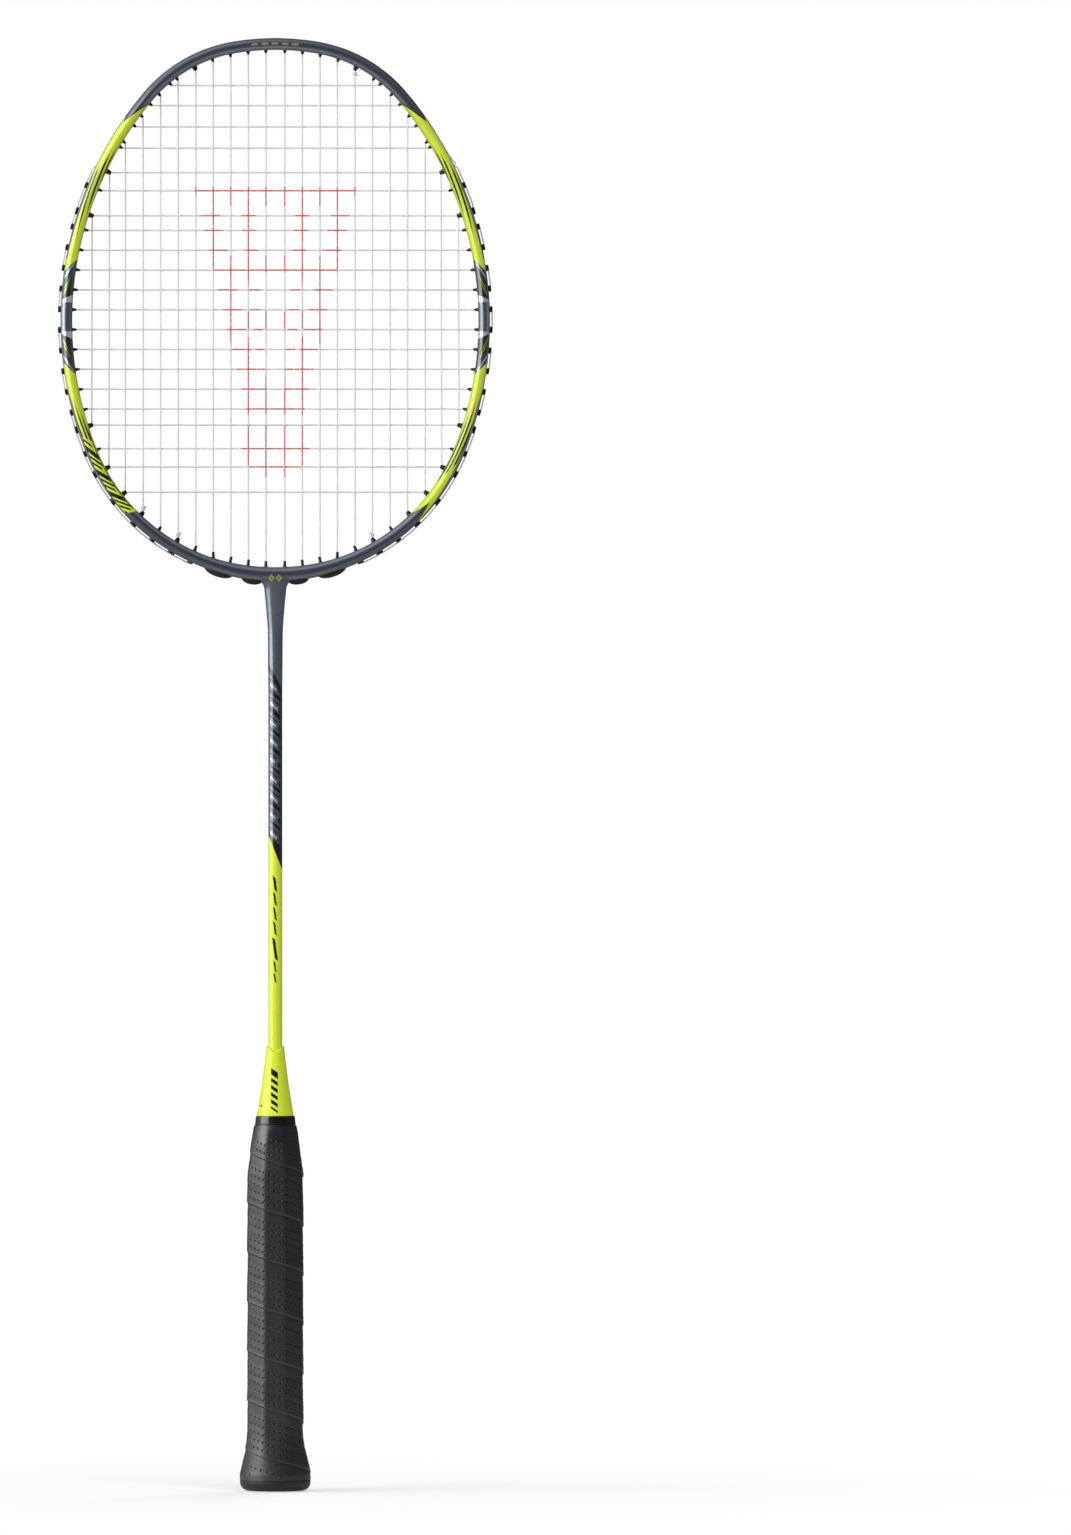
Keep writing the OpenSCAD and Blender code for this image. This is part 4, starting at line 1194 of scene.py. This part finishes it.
def add_ring(edit, ring, radius_at, height=None):
    """A joined ring at the same angles, and at the same heights if none is given."""
    added = []
    for vert in ring:
        angle = angle_of(vert)
        r = radius_at(angle)
        z = vert.co.z if height is None else height * METRE
        added.append(edit.verts.new((r * math.sin(angle) * METRE,
                                     -r * math.cos(angle) * METRE, z)))
    for k in range(len(ring)):
        after = (k + 1) % len(ring)
        edit.faces.new((ring[k], ring[after], added[after], added[k]))
    return added


def close_end(edit, height, radius):
    """A flat end inwards from the skin's open edge; returns its inner ring."""
    rim = {vert for edge in edit.edges if edge.is_boundary for vert in edge.verts
           if abs(vert.co.z * 1000 - height) < 0.2}
    return add_ring(edit, sorted(rim, key=angle_of), lambda angle: radius)


def stitch(edit, low, high):
    """Triangles between two rings of different lengths, in order of angle."""
    i, j = 0, 0
    while i < len(low) or j < len(high):
        low_vert, high_vert = low[i % len(low)], high[j % len(high)]
        next_low = angle_of(low[i + 1]) if i + 1 < len(low) else 9.0
        next_high = angle_of(high[j + 1]) if j + 1 < len(high) else 9.0
        if i < len(low) and (next_low <= next_high or j >= len(high)):
            edit.faces.new((low_vert, low[(i + 1) % len(low)], high_vert))
            i += 1
        else:
            edit.faces.new((low_vert, high[(j + 1) % len(high)], high_vert))
            j += 1


def make_grip():
    mesh = new_mesh("grip_wrap", *grip_sheet())
    with edited(mesh) as edit:
        merge_close(edit)
        loose = [vert for vert in edit.verts if not vert.link_faces]
        bmesh.ops.delete(edit, geom=loose, context="VERTS")
        low = close_end(edit, GRIP_BOTTOM, BORE_BOTTOM_R)
        high = close_end(edit, GRIP_TOP, BORE_TOP_R)
        # the bore follows the bar: round at both ends, eight flats between
        for z, flats, squareness in GRIP_BORE:
            def bore_radius(angle):
                facing = max(math.cos(angle - k * math.pi / 4) for k in range(8))
                return flats * (1 - squareness + squareness / facing)
            low = add_ring(edit, low, bore_radius, z)
        stitch(edit, low, high)
        shade(edit, sharp=60)
    register(add_object("grip_wrap", mesh), "grip", "grip_tape")


# --- Strings, woven over and under ---
def mirrored(point, side):
    return np.array([point[0] * side, point[1]])


# mains by signed number, -1 the first on the left; each (bottom end, top end)
MAIN_ENDS = {}
for g in range(-MAINS, MAINS):
    j, side = (g, 1) if g >= 0 else (-1 - g, -1)
    MAIN_ENDS[g] = (mirrored(BOTTOM_HOLES[j].tip, side), mirrored(TOP_HOLES[j].tip, side))
CROSS_ENDS = [(mirrored(hole.tip, -1), hole.tip.copy()) for hole in CROSS_HOLES]


def crossing_shares(a0, a1, b0, b1):
    """Shares along a and along b where two segments cross."""
    da, db, gap = a1 - a0, b1 - b0, b0 - a0
    det = da[0] * db[1] - da[1] * db[0]
    return (gap[0] * db[1] - gap[1] * db[0]) / det, (gap[0] * da[1] - gap[1] * da[0]) / det


# (share along the string, y) at each crossing
MAIN_NODES = {g: [] for g in MAIN_ENDS}
CROSS_NODES = [[] for _ in CROSS_ENDS]
for g, (m0, m1) in MAIN_ENDS.items():
    for k, (c0, c1) in enumerate(CROSS_ENDS):
        on_main, on_cross = crossing_shares(m0, m1, c0, c1)
        main_length, cross_length = np.linalg.norm(m1 - m0), np.linalg.norm(c1 - c0)
        if (1.0 < on_main * main_length < main_length - 1.0
                and 1.0 < on_cross * cross_length < cross_length - 1.0):
            sign = 1 if (g + k) % 2 == 0 else -1
            MAIN_NODES[g].append((on_main, sign * WEAVE))
            CROSS_NODES[k].append((on_cross, -sign * WEAVE))


def woven_span(start, end, end_y, nodes):
    """Points of a string between its two holes."""
    knots = [(0.0, end_y)] + sorted(nodes) + [(1.0, end_y)]
    points = []
    length = np.linalg.norm(end - start)
    for (share0, y0), (share1, y1) in zip(knots, knots[1:]):
        steps = max(2, int(round((share1 - share0) * length / 1.05)))
        for i in range(steps):
            q = i / steps
            y = y0 + (y1 - y0) * (0.5 - 0.5 * math.cos(math.pi * q))
            p = start + (end - start) * (share0 + (share1 - share0) * q)
            points.append((p[0], y, p[1]))
    points.append((end[0], end_y, end[1]))
    return points


def string_outside(heading):
    """A string's axis where it lies along the outside of the hoop."""
    groove = GROOVE_DEPTH * float(1 - smooth(heading, GROOVE_END - 4.0, GROOVE_END - 0.2))
    return outline(heading, THICKNESS + STRING_RIDE - groove)


def through_hole(hole, y):
    """Outwards along a hole, from below the surface to just above it."""
    exits = [hole.exit(height) for height in (-2.0, 0.35, 0.72)]
    return [(p[0], y, p[1]) for p in exits]


def from_tip(hole, y):
    """The tip, then straight down to the inner wall if the hole behind it leans."""
    x, z = hole.tip
    leans = hole.throat and abs(hole.inward[0]) > 0.2
    return [(x, y, z)] + ([(x, y, z - 1.25)] if leans else [])


def outside_run(first, second, side, y0, y1=None):
    """From the tip of one hole out, along the outside and in to the tip of another."""
    y1 = y0 if y1 is None else y1
    points = from_tip(first, y0) + through_hole(first, y0)
    start, end = first.exit_heading(STRING_RIDE), second.exit_heading(STRING_RIDE)
    sign = 1 if start < end else -1
    inset = 0.30 * sign
    headings = np.arange(start + inset, end - inset / 2, 0.45 * sign)
    for i, heading in enumerate(headings):
        if first.throat and second.throat:
            p = THROAT_CENTRE + (THROAT_RADIUS + STRING_RIDE) * outward(heading)
        else:
            p = string_outside(heading)
        share = float(smooth(i / max(1, len(headings) - 1), 0.0, 0.25))
        points.append((p[0], y0 + (y1 - y0) * share, p[1]))
    points += through_hole(second, y1)[::-1] + from_tip(second, y1)[::-1]
    return [(x * side, y, z) for x, y, z in points]


def main_path(side):
    """One half of the main string, from the crown's centre to its tie-off."""
    points = []
    for heading in np.arange(0, TOP_HOLES[0].exit_heading(STRING_RIDE) - 0.2, 0.5):
        p = string_outside(heading)
        points.append((p[0] * side, MAIN_Y, p[1]))
    points += [(x * side, y, z) for x, y, z in through_hole(TOP_HOLES[0], MAIN_Y)[::-1]]
    for j in range(MAINS):
        g = j if side > 0 else -1 - j
        body = woven_span(*MAIN_ENDS[g], MAIN_Y, MAIN_NODES[g])
        points += body if j % 2 else body[::-1]
        if j < MAINS - 1:
            holes = TOP_HOLES if j % 2 else BOTTOM_HOLES
            points += outside_run(holes[j], holes[j + 1], side, MAIN_Y)[1:-1]
    return points + outside_run(BOTTOM_HOLES[10], BOTTOM_HOLES[5], side, MAIN_Y, 1.2)[1:]


def cross_path():
    points = outside_run(TOP_HOLES[4], CROSS_HOLES[0], 1, CROSS_Y)
    following = CROSS_HOLES[1:] + [BOTTOM_HOLES[7]]
    for k in range(CROSSES):
        body = woven_span(*CROSS_ENDS[k], CROSS_Y, CROSS_NODES[k])[1:-1]
        leftwards = k % 2 == 0
        points += body[::-1] if leftwards else body
        side = -1 if leftwards else 1
        points += outside_run(CROSS_HOLES[k], following[k], side, CROSS_Y)
    return points


def knot_rings(hole, far_hole, side):
    """A tail wound round the neighbouring main and pulled through."""
    tip = mirrored(hole.tip, side)
    along = unit(mirrored(far_hole.tip, side) - tip)
    along = np.array([along[0], 0, along[1]])
    depth = np.array([0, 1.0, 0])
    across = np.cross(along, depth)
    start = np.array([tip[0], MAIN_Y, tip[1]]) + 0.85 * along
    path = []
    for i in range(64):
        t = i / 63
        angle = TURN * 2.35 * t * side
        r = 0.66 if t < 0.9 else 0.66 + (t - 0.9) * 9
        path.append(start + along * (0.34 + 1.35 * t)
                    + r * (math.cos(angle) * depth + math.sin(angle) * across))
    end = unit(path[-1] - path[-2])
    path += [path[-1] + end * 0.5, path[-1] + end * 1.0]
    return tube(path, radius=0.34, sides=10, end_scale=0.75)


def make_strings():
    knots = [knot_rings(*ends) for ends in (
        (BOTTOM_HOLES[5], TOP_HOLES[5], 1), (BOTTOM_HOLES[5], TOP_HOLES[5], -1),
        (TOP_HOLES[4], BOTTOM_HOLES[4], 1), (BOTTOM_HOLES[7], TOP_HOLES[7], -1))]
    mains = tube(main_path(-1)[::-1] + main_path(1)[1:], STRING_RADIUS, sides=8)
    crosses = tube(cross_path(), STRING_RADIUS, sides=8)
    for name, shells, replaced in (("main_string_woven", [mains], "main_string"),
                                   ("cross_string_woven", [crosses], "cross_string"),
                                   ("tie_off_knots", knots, "string_knots")):
        build(name, *closed_shells(shells), "string", replaced, sharp=70)


# --- Grommets and throat saddles ---
def grommet_ring(centre, along, r, height):
    depth = np.array([0, 1.0, 0])
    across = np.cross(along, depth)
    angles = [TURN * k / 20 for k in range(20)]
    return [centre + along * height + r * (math.cos(angle) * depth + math.sin(angle) * across)
            for angle in angles]


def grommet_rings(hole, side, tip, end_r, block):
    """One grommet: tapered tip inside, barrel, and a low block outside.

    tip is its length inside the inner wall, end_r its radius there and block the height of
    the outer block.
    """
    barrel_r = 1.3 if hole.wide else 1.0
    to_wall = float((outline(hole.heading, 0) - hole.tip) @ -hole.inward)
    surface = hole.exit(0)
    to_surface = float(np.linalg.norm(surface - hole.tip))
    root_r = end_r + 0.07 if hole.throat else end_r * 1.35 + 0.08
    end = max(0.0, tip - to_wall)
    # (radius, height along the inward axis from the string point)
    profile = [
        (0.30, end - 0.35), (0.36, end - 0.02), (end_r - 0.06, end), (end_r, end - 0.07),
        (end_r * 1.05 + 0.02, end - 0.3), (root_r, -to_wall + 0.45),
        (root_r + 0.10, -to_wall + 0.18), (root_r + 0.24, -to_wall + 0.05),
        (root_r + 0.28, -to_wall - 0.3), (barrel_r, -to_wall - 0.6),
        (barrel_r, -to_surface + 0.3)]
    # where a throat hole leans, the tip still stands upright with its string
    upright = hole.throat and abs(hole.inward[0]) > 0.2
    axis = np.array([hole.inward[0] * side, 0, hole.inward[1]])
    centre = np.array([hole.tip[0] * side, hole.y, hole.tip[1]])
    rings = []
    for r, height in profile:
        stands = upright and height > -to_wall - 0.1
        rings.append(grommet_ring(centre, np.array([0, 0, 1.0]) if stands else axis, r, height))
    # the outer block stands on the surface's normal: (radius over the barrel's, height)
    normal = unit(surface - hole.centre)
    axis = np.array([-normal[0] * side, 0, -normal[1]])
    centre = np.array([surface[0] * side, hole.y, surface[1]])
    for extra, height in ((0, 0.15), (0.30, 0.02), (0.46, -0.12), (0.47, -block * 0.55),
                          (0.38, -block * 0.86), (0.16, -block),
                          (0.5 - barrel_r, -block - 0.03)):
        rings.append(grommet_ring(centre, axis, barrel_r + extra, height))
    return rings


def build_grommets(name, replaced, grommets, sides=(1, -1)):
    """grommets holds (hole, tip, end radius, block height)."""
    shells = [grommet_rings(hole, side, *sizes) for hole, *sizes in grommets for side in sides]
    build(name, *closed_shells(shells), "grommet_nylon", replaced, sharp=32)


def make_grommets():
    top, bottom, cross = TOP_HOLES, BOTTOM_HOLES, CROSS_HOLES
    build_grommets("grommet_strip_crown", "grommets_crown",
                   [(top[j], 1.35, 0.52, 0.75) for j in (0, 1, 2, 3, 5)])
    shoulder = [(hole, 1.5, 0.52, 0.75 if hole.heading < GROOVE_END else 1.2)
                for hole in (cross[0], top[6], cross[1], top[7], cross[2], top[8], cross[3])]
    flank = [(cross[k], 1.95, 0.50, 1.25) for k in (5, 7, 8, 9, 10, 11, 12, 13, 14, 15, 16, 18)]
    for part, grommets in (("shoulder", shoulder), ("side", flank)):
        for word, side in (("right", 1), ("left", -1)):
            build_grommets(f"grommet_strip_{part}_{word}", f"grommets_{part}_{word}", grommets,
                           sides=(side,))
    build_grommets("grommets_twin", "grommets_shared",
                   [(hole, 2.3, 0.84, 1.2)
                    for hole in (top[9], top[10], bottom[10], bottom[9], bottom[8])])
    build_grommets("grommets_knot", "grommets_tie_off", [
        (top[4], 1.9, 0.82, 0.75), (bottom[5], 2.0, 0.82, 1.0), (bottom[7], 1.9, 0.82, 1.0)])
    build_grommets("grommets_low", "grommets_lower",
                   [(bottom[6], 1.9, 0.52, 1.0), (bottom[4], 2.5, 0.56, 1.0)])
    build_grommets("grommets_neck", "grommets_throat",
                   [(bottom[j], 2.7, 0.63, 0.6) for j in range(4)])


def saddle_rings(first, second, side):
    """A rounded pad under the string between two throat holes."""
    ends = first.exit_heading(0), second.exit_heading(0)
    margin = asin_deg(2.2 / THROAT_RADIUS)
    low, high = min(ends) - margin, max(ends) + margin
    rings = []
    for i in range(33):
        t = -1 + 2 * i / 32
        t = math.copysign(abs(t) ** 0.85, t)
        direction = outward((low + high) / 2 + (high - low) / 2 * t * 0.999)
        swell = max(0.0, 1 - abs(t) ** 2.4)
        height = 0.1 + 1.95 * swell ** 0.75
        half_depth = 0.9 + 1.75 * swell ** 0.5
        section = []            # (y, radius): a dome over a flat base sunk in the hoop
        for n in range(24):
            angle = math.pi * n / 23
            section.append((half_depth * math.cos(angle),
                            THROAT_RADIUS - 0.25 + (height + 0.25) * math.sin(angle) ** 0.72))
        for n in range(1, 6):
            section.append((-half_depth + 2 * half_depth * n / 6, THROAT_RADIUS - 0.6))
        ring = []
        for y, r in section:
            p = THROAT_CENTRE + r * direction
            ring.append((p[0] * side, y, p[1]))
        rings.append(ring)
    return rings


def make_saddles():
    shells = [saddle_rings(BOTTOM_HOLES[j + 1], BOTTOM_HOLES[j], side)
              for j in (0, 2) for side in (1, -1)]
    build("throat_saddle_pads", *closed_shells(shells), "saddle_rubber", "throat_saddles",
          sharp=50)


def dress_inner_parts():
    """The CAD pieces inside the racket keep their own shapes."""
    for name in ("t_joint_core", "shaft_end_plug", "handle_core", "butt_staple"):
        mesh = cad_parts[name].data
        mesh.materials.clear()
        mesh.materials.append(MATERIALS[name])


# --- Stage, light and camera, in metres except the floor's mesh ---
FLOOR_RADIUS = 6000
CAMERA_DISTANCE = 8.0
CAMERA_X, CAMERA_Z = 0.12094096, 0.3360504
VIEW_HEIGHT = 0.713468          # height of the view at the racket
SENSOR_WIDTH = 36               # millimetres


def floor_material():
    """Diffuse under the racket, glowing white further out and brightest to the camera."""
    material = bpy.data.materials.new("studio_floor")
    material.use_nodes = True
    tree = material.node_tree
    tree.nodes.clear()
    diffuse = add_node(tree, "BsdfDiffuse", {"Color": (0.93, 0.93, 0.935, 1)})
    camera_ray = add_node(tree, "LightPath").outputs["Is Camera Ray"]
    glow = add_node(tree, "MapRange", {"Value": camera_ray, "To Min": 0.22, "To Max": 1.0})
    emission = add_node(tree, "Emission", {"Color": (1, 1, 1, 1), "Strength": glow.outputs[0]})
    position = add_node(tree, "TexCoord").outputs["Object"]
    length = add_node(tree, "VectorMath", {0: position}, operation="LENGTH")
    distance = Signal(tree, length.outputs["Value"])
    blend = add_node(tree, "MixShader", {
        0: distance.ramp(0.03, 0.45, low=0.45), 1: diffuse.outputs[0], 2: emission.outputs[0]})
    add_node(tree, "OutputMaterial", {"Surface": blend.outputs[0]})
    return material


def make_floor():
    sides = 96
    points = [(0.0, 0.0, 0.0)]
    for k in range(sides):
        angle = TURN * k / sides
        points.append((FLOOR_RADIUS * math.cos(angle), FLOOR_RADIUS * math.sin(angle), 0.0))
    faces = [(0, 1 + k, 1 + (k + 1) % sides) for k in range(sides)]
    floor = add_object("studio_floor", new_mesh("studio_floor", points, faces))
    floor.location.z = -0.0002
    floor.data.materials.append(floor_material())


def make_world():
    """White to the camera; as light, brightest from the left and dim from front and back."""
    world = scene.world or bpy.data.worlds.new("studio")
    scene.world = world
    world.use_nodes = True
    tree = world.node_tree
    tree.nodes.clear()
    direction = add_node(tree, "TexCoord").outputs["Generated"]
    split = add_node(tree, "SeparateXYZ", {0: direction})
    x, y = (Signal(tree, split.outputs[i]) for i in range(2))
    strength = (x.ramp(-0.75, 0.7, low=0.95, high=0.12) * y.ramp(-1.0, 0.1, low=0.10, high=1.0)
                * y.ramp(0.1, 0.85, low=1.0, high=0.15))
    soft = add_node(tree, "Background", {"Color": (0.93, 0.95, 1.0, 1), "Strength": strength})
    white = add_node(tree, "Background", {"Color": (1, 1, 1, 1), "Strength": 1.0})
    camera_ray = add_node(tree, "LightPath").outputs["Is Camera Ray"]
    blend = add_node(tree, "MixShader", {
        0: camera_ray, 1: soft.outputs[0], 2: white.outputs[0]})
    add_node(tree, "OutputWorld", {"Surface": blend.outputs[0]})


def area_light(name, location, target, size, power):
    light = bpy.data.lights.new(name, "AREA")
    light.shape = "RECTANGLE"
    light.size, light.size_y = size
    light.energy = power
    obj = add_object(name, light)
    obj.location = location
    aim = Vector(target) - Vector(location)
    obj.rotation_euler = aim.to_track_quat("-Z", "Y").to_euler()
    return obj


def make_lights():
    area_light("key", location=(-2.1, -0.95, 1.0), target=(0, 0, 0.36), size=(2.2, 2.0), power=55)
    fill = area_light("fill", location=(0.9, -2.5, 1.3), target=(0, 0, 0.34), size=(1.4, 1.0),
                      power=46)
    back = area_light("back", location=(0.9, 2.1, 1.2), target=(0, 0, 0.34), size=(1.6, 1.4),
                      power=34)
    for light in (fill, back):
        light.visible_glossy = False


def make_camera():
    data = bpy.data.cameras.new("camera")
    camera = add_object("camera", data)
    data.sensor_width = SENSOR_WIDTH
    data.lens = SENSOR_WIDTH * CAMERA_DISTANCE / VIEW_HEIGHT
    camera.location = (CAMERA_X, -CAMERA_DISTANCE, CAMERA_Z)
    camera.rotation_euler = (math.pi / 2, 0, 0)
    data.clip_start, data.clip_end = 0.1, 60
    scene.camera = camera


make_frame()
make_turned_parts()
make_grip()
make_strings()
make_grommets()
make_saddles()
dress_inner_parts()

scene.view_settings.view_transform = "Standard"
scene.view_settings.look = "None"
make_floor()
make_world()
make_lights()
make_camera()
